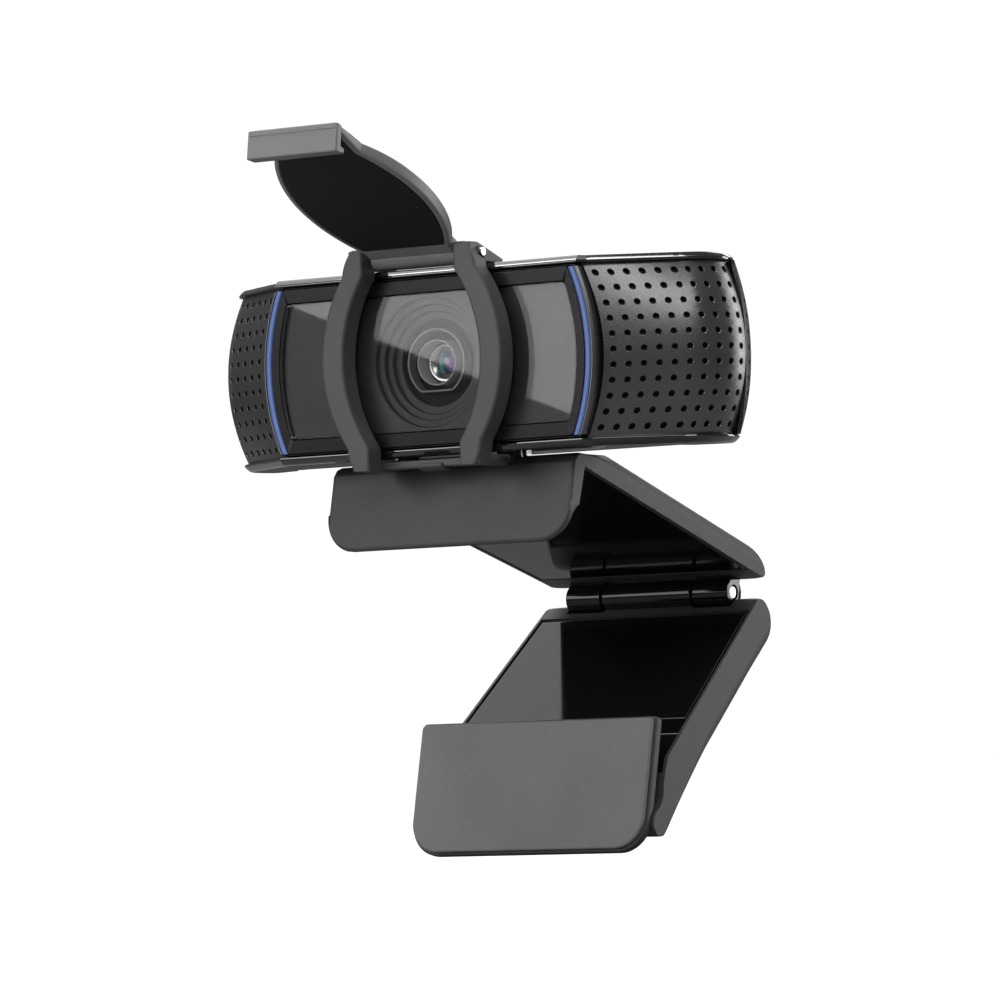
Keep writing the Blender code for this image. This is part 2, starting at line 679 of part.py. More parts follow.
def arm_section(distance):
    """The lower arm's side outline, at this distance in from its side."""
    fall = side_round(distance, SIDE_ROUND)
    points = [lower_point(*p) for p in arc((0, 0), TIP_RADIUS, 90, 270, 8)]
    thick = LOWER_FACE - LOWER_BACK
    back = [(6.0, LOWER_BACK), (20.0, LOWER_BACK), (40.0, LOWER_BACK), (48.2, LOWER_BACK),
            (50.0, LOWER_BACK + 0.7), (51.2, LOWER_BACK + 2.0), (51.6, LOWER_BACK + 3.6),
            (51.5, 3.0), (51.1, 4.8), (50.2, 5.9), (49.3, LOWER_FACE)]
    for along, height in back:
        share = (LOWER_FACE - height) / thick
        points.append(lower_point(along - 0.3 * fall * max(0.0, along - 48) / 4, height + fall * share))
    front = ((40.0, LOWER_FACE), (STEP_TOP_S, LOWER_FACE), (STEP_TOP_S - 0.9, LOWER_FACE - 0.9),
             (STEP_FOOT_S + 0.2, LOWER_FLOOR + 0.9), (STEP_FOOT_S - 0.6, LOWER_FLOOR),
             (6.2, LOWER_FLOOR), (3.6, 2.75), (1.6, 2.3))
    return points + [lower_point(*p) for p in front]


def build_arm(place, look):
    shell = loft("lower_arm_shell", place, look["clip"], across(arm_section, lower_half_width))

    def cover_outline(deep):
        top = [(6.6, LOWER_FLOOR), (STEP_FOOT_S - 0.6, LOWER_FLOOR), (STEP_FOOT_S + 0.4, LOWER_FLOOR + 0.6),
               (STEP_TOP_S, LOWER_FACE), (45.8, LOWER_FACE)]
        return [lower_point(a, h) for a, h in top], [lower_point(a + 0.5 * deep, h - deep) for a, h in top]

    for name, deep, rim, finish in (("lower_arm_cover", LINER_THICK, RIM + GAP, look["gloss"]),
                                    ("cover_pocket", LINER_THICK + GAP, RIM, None)):
        top, low = cover_outline(deep)
        if finish is None:
            top = [step_from(p, LOWER_ANGLE, 0.0, 3.0) for p in top]
            top[0], low[0] = (step_from(q, LOWER_ANGLE, -0.4, 0.0) for q in (top[0], low[0]))
            top[-1], low[-1] = (step_from(q, LOWER_ANGLE, 0.4, 0.0) for q in (top[-1], low[-1]))
        rings = []
        for a, b in zip(top, low):
            half = lower_half_width(a[0]) - rim
            rings.append([(-half, *a), (half, *a), (half, *b), (-half, *b)])
        made = loft(name, place, finish, rings)
        if finish is None:
            cut(shell, made)

    splits = []
    for side in (-1, 1):
        low_x, high_x = sorted((side * (KNUCKLE_SPLIT_X - 0.15), side * (KNUCKLE_END_X + GAP)))
        splits.append(rod("knuckle_room", place, None, HINGE_AXIS, KNUCKLE_RADIUS + 0.5, low_x, high_x))
        low_x, high_x = sorted((side * (FOOT_LUG[0] - GAP), side * (FOOT_LUG[1] + GAP)))
        slot = [lower_point(a, h) for a, h in ((-4, -4), (2.5, -4), (2.5, 5), (-4, 5))]
        splits.append(prism("lug_slot", place, None, slot, "X", low_x, high_x))
    cut(shell, *splits)
    inner = KNUCKLE_SPLIT_X - 0.15
    join(shell, rod("arm_knuckle", place, None, HINGE_AXIS, KNUCKLE_RADIUS, -inner, inner))
    cut(shell, rod("arm_hinge_hole", place, None, HINGE_AXIS, 1.25, -15.65, 15.65),
        rod("arm_foot_hole", place, None, FOOT_AXIS, 1.0, -20.6, 20.6))
    rod("foot_hinge_pin", place, look["metal"], FOOT_AXIS, 0.7, -20.3, 20.3)
    build_insert(place, look, shell)


def build_insert(place, look, shell):
    """The threaded insert in the lower arm's back, its outer end flush with the shell."""
    def ring(radius, height, sides=24):
        points = []
        for i in range(sides):
            angle = 2 * math.pi * i / sides
            y, z = lower_point(INSERT_S + radius * math.sin(angle), height)
            points.append((radius * math.cos(angle), y, z))
        return points

    low, high = LOWER_BACK + 0.05, LOWER_BACK + 5.2
    insert = loft("tripod_insert", place, look["metal"],
                  [ring(INSERT_RADIUS, low), ring(INSERT_RADIUS, high)])
    cut(insert, loft("thread_bore", place, None,
                     [ring(THREAD_RADIUS, low - 2), ring(THREAD_RADIUS, high - 0.8)]))
    cut(shell, loft("insert_hole", place, None,
                    [ring(INSERT_RADIUS + GAP, low - 2), ring(INSERT_RADIUS + GAP, high + GAP)]))


# ---------------------------------------------------------------- foot

def foot_slab(name, place, finish, back, front, inset):
    """A slab of the foot's front outline between two heights on it."""
    half = FOOT_HALF_WIDTH - inset
    outline = rounded_box((-half, FOOT_BOTTOM_S + inset), (half, FOOT_TOP_S - inset),
                          (CORNER_ROUND, CORNER_ROUND, 1.4, 1.4))
    rings = [[(x, *foot_point(s, height)) for x, s in outline] for height in (back, front)]
    return loft(name, place, finish, rings)


def build_foot(place, look):
    pad_back = FOOT_FACE - FOOT_PAD_THICK
    foot_slab("foot_pad", place, look["pad"], pad_back, FOOT_FACE, 0.4)
    front = pad_back - 0.15
    shell = foot_slab("foot_shell", place, look["clip"], front - FOOT_SHELL_THICK, front, 0.0)
    cut(shell, rod("tip_room", place, None, FOOT_AXIS, TIP_RADIUS + 0.45, -23, 23))
    lugs = []
    for side in (-1, 1):
        low_x, high_x = sorted((side * FOOT_LUG[0], side * FOOT_LUG[1]))
        web = [foot_point(a, h) for a, h in ((-1.7, 0.0), (1.7, 0.0), (1.9, 2.6), (-1.9, 2.6))]
        lugs.append(prism("foot_web", place, None, web, "X", low_x, high_x))
        lugs.append(rod("foot_eye", place, None, FOOT_AXIS, 1.8, low_x, high_x))
    join(shell, *lugs)
    cut(shell, rod("foot_bore", place, None, FOOT_AXIS, 1.0, -15, 15))


# ---------------------------------------------------------------- assembly

def main():
    for old in list(bpy.data.objects):
        bpy.data.objects.remove(old)
    look = {
        "shell": material("matte_black", (0.03, 0.03, 0.032), 0.5),
        "clip": material("dark_grey_plastic", (0.1, 0.098, 0.1), 0.5),
        "pad": material("grey_soft_pad", (0.14, 0.137, 0.14), 0.75),
        "gloss": material("gloss_black", (0.008, 0.008, 0.008), 0.08),
        "grille": material("satin_grille", (0.06, 0.06, 0.063), 0.4),
        "light": material("blue_light_guide", (0.09, 0.17, 0.5), 0.3),
        "window": material("clear_window", (0.6, 0.6, 0.62), 0.03, transmission=1.0),
        "mask": material("mask_grey", (0.05, 0.05, 0.052), 0.4),
        "metal": material("bright_metal", (0.6, 0.6, 0.6), 0.3, 1.0),
        "board": material("circuit_board", (0.02, 0.12, 0.06), 0.5),
        "rubber": material("black_rubber", (0.02, 0.02, 0.02), 0.8),
        "shutter": material("shutter_grey", (0.09, 0.1, 0.1), 0.5),
    }
    clip = Place("clip_base", ORIGIN_YZ)
    head = Place("head_tilt_axis", TILT_AXIS, clip)
    lid = Place("lid_axis", LID_AXIS, head)
    arm = Place("arm_axis", HINGE_AXIS, clip)
    foot = Place("foot_axis", FOOT_AXIS, arm)
    build_jaw(clip, look)
    build_tilt_axle(clip, look)
    build_head(head, look)
    build_tilt_bracket(head, look)
    build_shutter_frame(head, look)
    rod("shutter_pin", head, look["metal"], LID_AXIS, 0.65, -12.2, 12.2)
    build_lid(lid, look)
    build_arm(arm, look)
    build_foot(foot, look)


main()
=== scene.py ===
"""The looks of a webcam with a folding screen clip and a flip-up privacy shutter.

Points are written in millimetres in the head's frame: X to the right as seen from the front, Y to the rear,
Z up, and zero on the lens axis at the plane of the light strips. place() turns them into the frame's metres.
"""

import math

import bmesh
import bpy
from mathutils import Matrix, Vector


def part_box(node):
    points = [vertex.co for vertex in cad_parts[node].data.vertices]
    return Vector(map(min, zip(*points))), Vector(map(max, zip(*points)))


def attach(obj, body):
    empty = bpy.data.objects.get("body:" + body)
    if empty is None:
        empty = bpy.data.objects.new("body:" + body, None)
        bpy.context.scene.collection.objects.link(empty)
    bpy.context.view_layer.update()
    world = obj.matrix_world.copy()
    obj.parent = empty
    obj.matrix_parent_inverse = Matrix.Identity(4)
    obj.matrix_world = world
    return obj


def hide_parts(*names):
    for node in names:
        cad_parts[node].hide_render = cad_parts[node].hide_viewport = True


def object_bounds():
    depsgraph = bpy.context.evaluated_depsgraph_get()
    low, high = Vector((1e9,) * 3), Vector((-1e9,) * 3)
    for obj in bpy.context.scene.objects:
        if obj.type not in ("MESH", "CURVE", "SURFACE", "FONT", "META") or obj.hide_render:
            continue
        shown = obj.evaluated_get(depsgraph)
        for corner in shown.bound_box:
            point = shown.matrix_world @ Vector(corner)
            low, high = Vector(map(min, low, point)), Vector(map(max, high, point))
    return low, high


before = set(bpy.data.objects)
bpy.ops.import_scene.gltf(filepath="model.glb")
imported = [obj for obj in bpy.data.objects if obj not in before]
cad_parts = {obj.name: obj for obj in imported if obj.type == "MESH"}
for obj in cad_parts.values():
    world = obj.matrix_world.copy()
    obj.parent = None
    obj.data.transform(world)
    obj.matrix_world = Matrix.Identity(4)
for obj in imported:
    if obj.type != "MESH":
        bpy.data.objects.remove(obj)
CAD_LOW, CAD_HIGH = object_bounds()

MM = 0.001
GAP = 0.3
SIDES = ((-1, "left"), (1, "right"))

# Head
HALF_HEIGHT = 14.5
END_RADIUS = 9.9
END_CENTRE = (37.1, 16.2)
WING_SWEEP = math.radians(25.8)
END_BOW = 1.8
WING_ROOT = 1.4
WING_CROWN = 1.0
RIM_END_TURN = math.radians(28.0)
PANEL_HALF_HEIGHT = 13.1
STRIP_END_X = 26.9
STRIP_BOW = 2.75
WALL = 1.3
SEAM_Y = 15.2
END_SEAM_TURN = math.radians(8.5)
SHELL_HALF_HEIGHT = 14.3
BACK_Y = 24.0
END_BACK_Y = 26.1
GLAND_Z = 2.0
GLAND_RADIUS = 3.6
TRIM_RING_Y = 5.0
BOW_START_X = 28.0
WINDOW_OFFSET = -2.15
WINDOW_HALF_HEIGHT = 10.6
MASK_BACK_Y = 4.6

# Perforations
HOLE_RADIUS = 0.46
HOLE_ROWS = 11
HOLE_ROW_PITCH = 2.354
HOLE_COLUMN_PITCH = 2.34
FIRST_HOLE = 1.45
HOLE_COLUMNS = 10
SHEET_THICK = 0.7
VENT_COLUMNS = 3
VENT_FIRST = 1.6
VENT_RUN = VENT_FIRST + HOLE_COLUMN_PITCH * VENT_COLUMNS

# Lens
RING_STEPS = ((10.0, 1.0, 1.85), (8.9, 1.85, 2.7), (7.9, 2.7, 3.5), (6.7, 3.5, 4.3))
WELL_RADIUS = 5.0
WELL_FLAT_Z = -4.2
WELL_FLOOR_Y = 4.9
SURROUND_BACK_Y = 5.2
LENS_HOLE_RADIUS = 3.95
LENS_RADIUS = 1.6

# Privacy shutter
BAR_FRONT_Y = -4.2
BAR_BACK_Y = -0.4
BAR_WIDTH = 4.0
BAR_INNER_END_X = 8.4
BAR_BOW = 4.2
BAR_BOW_HALF_HEIGHT = 13.2
BAR_BOW_MIDDLE_Z = 0.35
BAR_TOP_Z = 17.7
BAR_BOTTOM_Z = -16.5
PIN_BORE = 0.95
LID_AXIS = (-1.2, 16.1)
LID_OPEN_ANGLE = math.radians(150.9)
LID_LENGTH = 36.8
LID_UNDER = -0.75
LID_OUTER = 1.45
LID_END_DROP = 1.3
LID_END_HALF_WIDTH = 7.95
LID_BOW = 3.9
LID_BOW_MIDDLE = 16.2
LID_FALL_START = 22.0
TAB_ANGLE = math.radians(261.0)
TAB_LENGTH = 4.5
TAB_HALF_WIDTH = 8.2

# Clip: angles are measured from +Y towards +Z
TILT_AXIS = (9.5, -14.6)
LIP_FOOT = (3.33, -28.3)
LIP_ANGLE = math.radians(76.15)
LIP_TIP_THICK = 1.3
LIP_ROOT_THICK = 3.7
LIP_PAD_FACE = 4.2
LIP_PAD_RANGE = (1.4, 9.8)
PAD_HALF_WIDTH = 17.0
APEX = (9.3, -17.1)
UPPER_ANGLE = math.radians(-16.7)
UPPER_THICK = 4.8
JAW_TOP_Z = -15.0
FRONT_HALF_WIDTH = 22.5
HINGE_HALF_WIDTH = 20.2
SIDE_ROUND = 3.0
CORNER_ROUND = 5.2
LINER_THICK = 0.8
RIM = 0.6
HINGE_AXIS = (63.6, -36.0)
KNUCKLE_RADIUS = 2.4
KNUCKLE_BORE = 1.25
KNUCKLE_SPLIT_X = 8.6
KNUCKLE_END_X = 15.4
FOOT_AXIS = (27.6, -72.2)
FOOT_PIN_BORE = 1.0
LOWER_ANGLE = math.radians(37.3)
LOWER_FACE = 6.25
LOWER_FLOOR = 3.4
LOWER_BACK = -2.2
STEP_TOP_S = 18.7
STEP_FOOT_S = 16.2
TIP_RADIUS = 2.1
INSERT_S = 30.0
INSERT_RADIUS = 4.2
THREAD_RADIUS = 2.6
THREAD_PITCH = 1.27
FOOT_FACE = 4.05
FOOT_TOP_S = 16.4
FOOT_BOTTOM_S = -5.1
FOOT_HALF_WIDTH = 22.0
FOOT_TOP_CORNER = 0.7
FOOT_PAD_THICK = 0.7
FOOT_SHELL_THICK = 2.0
FOOT_LUG = (9.0, 13.0)

# Camera: a long lens in front of the head, well over to +X and a little below it
CAMERA_AZIMUTH = math.radians(33.39)
CAMERA_ELEVATION = math.radians(-2.32)
CAMERA_ROLL = math.radians(-1.99)
CAMERA_DISTANCE = 899.7
CAMERA_TARGET = (12.83, 0.0, -21.93)
CAMERA_LENS = 212.5

# A card whose lower edge the flat window mirrors as a slanting line, in metres from the lens
WINDOW_CARD = (-0.325, -0.624, 0.202)
WINDOW_CARD_FACING = (0.5505, 0.8348, 0.0)
WINDOW_CARD_ROLL = math.radians(-23.0)

# Floor, in metres, and the white world, as it lights the object and as the camera sees it
FLOOR_HALF = 6.0
FLOOR_DROP = 0.0004
FLOOR_GLOW = 0.97
WORLD_LIGHT = 0.16
WORLD_SEEN = 1.05

ring_low, ring_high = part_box("lens_trim_ring")
ORIGIN = Vector((0, ring_low.y - TRIM_RING_Y * MM, (ring_low.z + ring_high.z) / 2))


def place(x, y, z):
    return ORIGIN + Vector((x, y, z)) * MM


# ---- materials

def feed(tree, node, sockets):
    """Gives each named input of a node its value, or the output that drives it."""
    for name, value in sockets.items():
        if isinstance(value, bpy.types.NodeSocket):
            tree.links.new(value, node.inputs[name])
        else:
            node.inputs[name].default_value = value


def add_node(tree, kind, sockets=None, **values):
    node = tree.nodes.new("ShaderNode" + kind)
    for name, value in values.items():
        setattr(node, name, value)
    feed(tree, node, sockets or {})
    return node


def noise(tree, coordinates, size, detail=2.0):
    """A noise texture whose features are about size millimetres across."""
    sockets = {"Vector": coordinates.outputs["Object"], "Scale": 1 / (size * MM), "Detail": detail}
    return add_node(tree, "TexNoise", sockets).outputs["Fac"]


def ramp(tree, source, stops):
    """A colour ramp over source, from (position, colour) stops."""
    made = add_node(tree, "ValToRGB", {"Fac": source})
    elements = made.color_ramp.elements
    while len(elements) < len(stops):
        elements.new(0.5)
    for element, (position, colour) in zip(elements, stops):
        element.position = position
        element.color = (*colour, 1)
    return made.outputs["Color"]


def spread(tree, source, low, high):
    """source, from 0.3 to 0.7, carried over to the range from low to high."""
    sockets = {"Value": source, "From Min": 0.3, "From Max": 0.7, "To Min": low, "To Max": high}
    return add_node(tree, "MapRange", sockets).outputs["Result"]


def grey(level):
    return (level, level, level)


def shade(colour, share):
    return tuple(min(1.0, c * share) for c in colour)


def new_material():
    """A material, its node tree and the texture coordinates in it."""
    made = bpy.data.materials.new("look")
    made.use_nodes = True
    return made, made.node_tree, add_node(made.node_tree, "TexCoord")


def moulded(colour, roughness, grain=0.35, bump=0.15, drift=0.1, speck=0.0, **sockets):
    """A moulded, painted or turned surface: fine grain, uneven gloss and a slow drift in its shade."""
    made, tree, coordinates = new_material()
    fine = noise(tree, coordinates, grain, 3.0)
    slow = noise(tree, coordinates, 14.0)
    base = ramp(tree, slow, [(0.3, shade(colour, 1 - drift)), (0.7, shade(colour, 1 + drift))])
    if speck:
        dots = noise(tree, coordinates, grain * 2.2)
        light = ramp(tree, dots, [(0.62, grey(0)), (0.74, shade(colour, speck))])
        mixed = {"Factor": 1.0, "A": base, "B": light}
        base = add_node(tree, "Mix", mixed, data_type="RGBA", blend_type="ADD").outputs["Result"]
    gloss = spread(tree, fine, roughness * 0.85, min(1.0, roughness * 1.15))
    rise = add_node(tree, "Bump", {"Strength": bump, "Distance": grain * MM * 0.3, "Height": fine})
    shader = tree.nodes["Principled BSDF"]
    feed(tree, shader, {"Base Color": base, "Roughness": gloss, "Normal": rise.outputs["Normal"]})
    feed(tree, shader, {name.replace("_", " "): value for name, value in sockets.items()})
    return made


def clear_window():
    """Thin clear plastic: it lets the light through, and mirrors by its Fresnel share."""
    made, tree, coordinates = new_material()
    tree.nodes.remove(tree.nodes["Principled BSDF"])
    haze = noise(tree, coordinates, 9.0)
    tint = ramp(tree, haze, [(0.3, grey(0.9)), (0.7, grey(0.93))])
    through = add_node(tree, "BsdfTransparent", {"Color": tint})
    mirror = add_node(tree, "BsdfGlossy", {"Roughness": spread(tree, haze, 0.01, 0.025)})
    share = add_node(tree, "Fresnel", {"IOR": 1.36})
    mix = add_node(tree, "MixShader", {"Fac": share.outputs["Fac"], 1: through.outputs["BSDF"],
                                       2: mirror.outputs["BSDF"]})
    feed(tree, tree.nodes["Material Output"], {"Surface": mix.outputs["Shader"]})
    return made


def lens_with_painted_reflection():
    """Dark glass with a painted reflection: the coating's glints are painted into its colour, teal on one
    side and violet on the other.
    """
    made = moulded((0.01, 0.03, 0.04), 0.05, bump=0.0, Coat_Weight=1.0, Coat_Roughness=0.02)
    tree = made.node_tree
    coordinates = add_node(tree, "TexCoord")
    split = add_node(tree, "SeparateXYZ", {"Vector": coordinates.outputs["Object"]})
    half = LENS_RADIUS * MM
    across = add_node(tree, "MapRange", {"Value": split.outputs["X"], "From Min": -half, "From Max": half})
    # painted reflection: the coating's coloured glints set as base colour across the lens, from one side to
    # the other
    tint = ramp(tree, across.outputs["Result"], [
        (0.0, (0.0, 0.03, 0.03)), (0.25, (0.01, 0.42, 0.34)), (0.45, (0.01, 0.05, 0.12)),
        (0.62, (0.03, 0.02, 0.14)), (0.8, (0.22, 0.05, 0.42)), (1.0, (0.02, 0.01, 0.03))])
    feed(tree, tree.nodes["Principled BSDF"], {"Base Color": tint})
    return made


LOOKS = {
    "matte_black": moulded((0.016, 0.016, 0.017), 0.5, 0.3, 0.12),
    "dark_grey_plastic": moulded((0.066, 0.064, 0.064), 0.55, 0.25, 0.22, 0.05),
    "grey_soft_pad": moulded((0.225, 0.22, 0.22), 0.8, 0.3, 0.9, 0.05, 0.12),
    "gloss_black": moulded(grey(0.007), 0.07, 0.5, 0.01, Specular_IOR_Level=0.4),
    "frame_black": moulded(grey(0.012), 0.3, 0.5, 0.02, Specular_IOR_Level=0.18),
    "rim_black": moulded(grey(0.006), 0.08, 0.5, 0.01, Specular_IOR_Level=0.8, Coat_Weight=0.8,
                         Coat_Roughness=0.05),
    "satin_grille": moulded((0.15, 0.15, 0.152), 0.3, 0.2, 0.1, 0.05, Metallic=0.85),
    "blue_light_guide": moulded((0.1, 0.17, 0.42), 0.3, 0.5, 0.03, Emission_Color=(0.07, 0.14, 0.42, 1),
                                Emission_Strength=0.15),
    "clear_window": clear_window(),
    "lens_with_painted_reflection": lens_with_painted_reflection(),
    "mask_grey": moulded((0.068, 0.066, 0.068), 0.45, 0.25, 0.1, 0.04),
    "silver_trim": moulded((0.62, 0.62, 0.63), 0.24, 0.15, 0.05, Metallic=1.0),
    "satin_silver": moulded(grey(0.3), 0.45, 0.15, 0.08, Metallic=0.3),
    # painted light: a pale copy of the silver trim, so the lens sleeve's inner wall looks lit
    "silver_with_painted_light": moulded(grey(0.85), 0.5, 0.15, 0.05, Metallic=0.2),
    "steel": moulded(grey(0.5), 0.3, 0.12, 0.08, Metallic=1.0),
    "brass_insert": moulded((0.62, 0.44, 0.16), 0.3, 0.12, 0.08, Metallic=1.0),
    "microphone": moulded(grey(0.42), 0.35, 0.2, 0.05, Metallic=1.0),
    "sensor": moulded((0.05, 0.04, 0.09), 0.2, 0.2, 0.02),
    "circuit_board": moulded((0.015, 0.1, 0.045), 0.4, 0.6, 0.1),
    "black_rubber": moulded(grey(0.014), 0.8, 0.3, 0.3),
    "shutter_grey": moulded((0.082, 0.085, 0.085), 0.5, 0.22, 0.12, 0.05),
    "lid_grey": moulded((0.2, 0.202, 0.204), 0.42, 0.22, 0.12, 0.05),
    # black plastic with painted shade: a darker, less shiny copy of the matte black, for the cloth behind the
    # holes, the lens well and the lid's underside
    "black_with_painted_shade": moulded(grey(0.008), 0.6, 0.3, 0.1, Specular_IOR_Level=0.25),
}
for look_name, look_material in LOOKS.items():
    look_material.name = look_name


# ---- outlines

def step_from(origin, angle, along, out):
    """The (y, z) point a distance along a direction, and out on the side a left turn points to."""
    c, s = math.cos(angle), math.sin(angle)
    return origin[0] + along * c - out * s, origin[1] + along * s + out * c


def lip_point(along, depth):
    return step_from(LIP_FOOT, LIP_ANGLE, along, -depth)


def upper_point(along, height):
    return step_from(APEX, UPPER_ANGLE, along, height)


def lower_point(along, height):
    return step_from(FOOT_AXIS, LOWER_ANGLE, along, height)


def foot_point(along, height):
    return step_from(FOOT_AXIS, LIP_ANGLE, along, height)


def lid_point(along, out):
    return step_from(LID_AXIS, LID_OPEN_ANGLE, along, -out)


def share_of(value, low, high):
    """How far value lies between low and high, held from 0 to 1."""
    return max(0.0, min(1.0, (value - low) / (high - low)))


def spaced(low, high, steps):
    return [low + (high - low) * i / steps for i in range(steps + 1)]


def arc(centre, radius, start, end, steps):
    """Points on an arc, angles in degrees."""
    turns = [math.radians(a) for a in spaced(start, end, steps)]
    return [(centre[0] + radius * math.cos(a), centre[1] + radius * math.sin(a)) for a in turns]


def circle(centre, radius, sides=64):
    return arc(centre, radius, 0, 360, sides)[:-1]


def box_outline(low, high):
    return [(low[0], low[1]), (high[0], low[1]), (high[0], high[1]), (low[0], high[1])]


def fillet(outline, radius, steps=5, least_turn=25.0):
    """The closed outline with a round at each corner that turns more than least_turn degrees."""
    made = []
    for i, corner in enumerate(outline):
        before, here, after = Vector(outline[i - 1]), Vector(corner), Vector(outline[(i + 1) % len(outline)])
        into, out = here - before, after - here
        turn = into.angle(out)
        if turn < math.radians(least_turn):
            made.append(tuple(here))
            continue
        reach = min(radius * math.tan(turn / 2), 0.45 * into.length, 0.45 * out.length)
        start, end = here - into.normalized() * reach, here + out.normalized() * reach
        for t in spaced(0.0, 1.0, steps):
            made.append(tuple(start * (1 - t) ** 2 + here * (2 * t * (1 - t)) + end * t ** 2))
    return made


def bow(z, end_x, rise, half_height):
    """The x of a ')' shaped edge that bulges by rise over its half height."""
    radius = (half_height ** 2 + rise ** 2) / (2 * rise)
    z = max(-half_height, min(half_height, z))
    return end_x + rise - radius + math.sqrt(radius ** 2 - z ** 2)


def strip_x(z):
    return bow(z, STRIP_END_X, STRIP_BOW, PANEL_HALF_HEIGHT)


def panel_loop(offset, half_height, radius, steps=12):
    """The rounded outline (x, z) of a panel between the light strips, its sides moved out by offset."""
    right = [(strip_x(z) + offset, z) for z in spaced(-half_height, half_height, steps)]
    return fillet(right + [(-x, z) for x, z in reversed(right)], radius)


def at_depth(loop, y):
    return [(x, y, z) for x, z in loop]


# ---- meshes

def add_object(name, data):
    made = bpy.data.objects.new(name, data)
    bpy.context.scene.collection.objects.link(made)
    return made


def shape(points, faces):
    """A raw mesh object from points in millimetres."""
    mesh = bpy.data.meshes.new("shape")
    mesh.from_pydata([place(*p) for p in points], [], faces)
    work = bmesh.new()
    work.from_mesh(mesh)
    bmesh.ops.remove_doubles(work, verts=work.verts, dist=2e-6)
    bmesh.ops.recalc_face_normals(work, faces=work.faces)
    work.to_mesh(mesh)
    work.free()
    return add_object("shape", mesh)


def loft(rings, ends="caps"):
    """A solid through rings of equally many points: closed by caps, or by a wrap onto the first ring."""
    count = len(rings[0])
    points = [p for ring in rings for p in ring]
    faces = []
    if ends == "caps":
        faces = [list(range(count))[::-1], [len(points) - count + i for i in range(count)]]
    spans = len(rings) if ends == "wrap" else len(rings) - 1
    for r in range(spans):
        s = (r + 1) % len(rings)
        for i in range(count):
            j = (i + 1) % count
            faces.append([r * count + i, r * count + j, s * count + j, s * count + i])
    return shape(points, faces)


def prism(outline, axis, low, high):
    """An outline pushed along an axis. It holds (y, z) for X, (x, z) for Y and (x, y) for Z."""
    turn = {"X": lambda a, b, c: (c, a, b), "Y": lambda a, b, c: (a, c, b), "Z": lambda a, b, c: (a, b, c)}
    return loft([[turn[axis](a, b, c) for a, b in outline] for c in (low, high)])


def eased(outline, low, high, ease):
    """A slab of a (y, z) outline along X, whose ends draw in a little over the last ease millimetres."""
    middle = [sum(values) / len(outline) for values in zip(*outline)]
    reach = max(math.dist(p, middle) for p in outline)
    rings = []
    for x, share in ((low, 1.0), (low + 0.3 * ease, 0.3), (low + ease, 0.0), (high - ease, 0.0),
                     (high - 0.3 * ease, 0.3), (high, 1.0)):
        scale = 1 - share * ease / reach
        rings.append([(x, middle[0] + (y - middle[0]) * scale, middle[1] + (z - middle[1]) * scale)
                      for y, z in outline])
    return loft(rings)


def rod(centre, radius, low, high, axis="X", sides=64):
    return prism(circle(centre, radius, sides), axis, low, high)


def turned(profile, centre, axis="Y", sides=96):
    """A closed profile of (radius, position along the axis) turned round an axis through centre."""
    spreads = {"X": lambda r, s, a: (a, centre[0] + r, centre[1] + s),
               "Y": lambda r, s, a: (centre[0] + r, a, centre[1] + s)}
    rings = []
    for turn in spaced(0, 2 * math.pi, sides)[:-1]:
        rings.append([spreads[axis](r * math.cos(turn), r * math.sin(turn), a) for r, a in profile])
    return loft(rings, "wrap")


def soften(target, width, segments=3, angle=40.0):
    """Rounds the edges whose faces turn by more than the angle."""
    work = bmesh.new()
    work.from_mesh(target.data)
    sharp = [e for e in work.edges if len(e.link_faces) == 2 and e.calc_face_angle() > math.radians(angle)]
    bmesh.ops.bevel(work, geom=sharp, offset=width * MM, offset_type="OFFSET", segments=segments, profile=0.5,
                    affect="EDGES", clamp_overlap=True)
    work.to_mesh(target.data)
    work.free()
    return target


def combine(operation, target, *tools):
    """The target with the tools cut from it or joined to it. The tools are used up."""
    for tool in tools:
        change = target.modifiers.new("change", "BOOLEAN")
        change.operation = operation
        change.object = tool
        change.solver = "EXACT"
    graph = bpy.context.evaluated_depsgraph_get()
    mesh = bpy.data.meshes.new_from_object(target.evaluated_get(graph))
    target.modifiers.clear()
    target.data = mesh
    for tool in tools:
        bpy.data.objects.remove(tool)
    return target


def cut(target, *tools):
    return combine("DIFFERENCE", target, *tools)


def join(target, *tools):
    return combine("UNION", target, *tools)


def finish(made, name, body, slot, *nodes, look=None, sharp=40.0):
    """Names a mesh, gives it its material, rides it on its body, and stands it for its CAD nodes."""
    made.name = name
    made.data.name = name
    made.data.materials.clear()
    made.data.materials.append(LOOKS[look or slot])
    made.data.shade_smooth()
    made.data.set_sharp_from_angle(angle=math.radians(sharp))
    made.modifiers.new("weighted_normals", "WEIGHTED_NORMAL").keep_sharp = True
    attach(made, body)
    if nodes:
        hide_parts(*nodes)
    return made


# ---- head surfaces

ROOT_X = strip_x(0) + WING_ROOT
TANGENT_X = END_CENTRE[0] + END_RADIUS * math.sin(WING_SWEEP)
STRAIGHT_RUN = (TANGENT_X - ROOT_X) / math.cos(WING_SWEEP)
WING_START_TURN = WING_SWEEP - math.pi / 2
WING_RUN = STRAIGHT_RUN + END_RADIUS * (END_SEAM_TURN - WING_START_TURN)
END_SEAM_Y = END_CENTRE[1] + END_RADIUS * math.sin(END_SEAM_TURN)


def wing_line_y(x, inset=0.0):
    """The plan position of a wing's straight front at x, moved in by inset."""
    nx, ny = math.sin(WING_SWEEP), -math.cos(WING_SWEEP)
    return END_CENTRE[1] + (END_RADIUS - inset - nx * (x - END_CENTRE[0])) / ny


def end_inset(x, z):
    """How far the bowed ends come in at height z, growing from the wing's root."""
    return END_BOW * share_of(x, BOW_START_X, TANGENT_X) * (z / PANEL_HALF_HEIGHT) ** 2


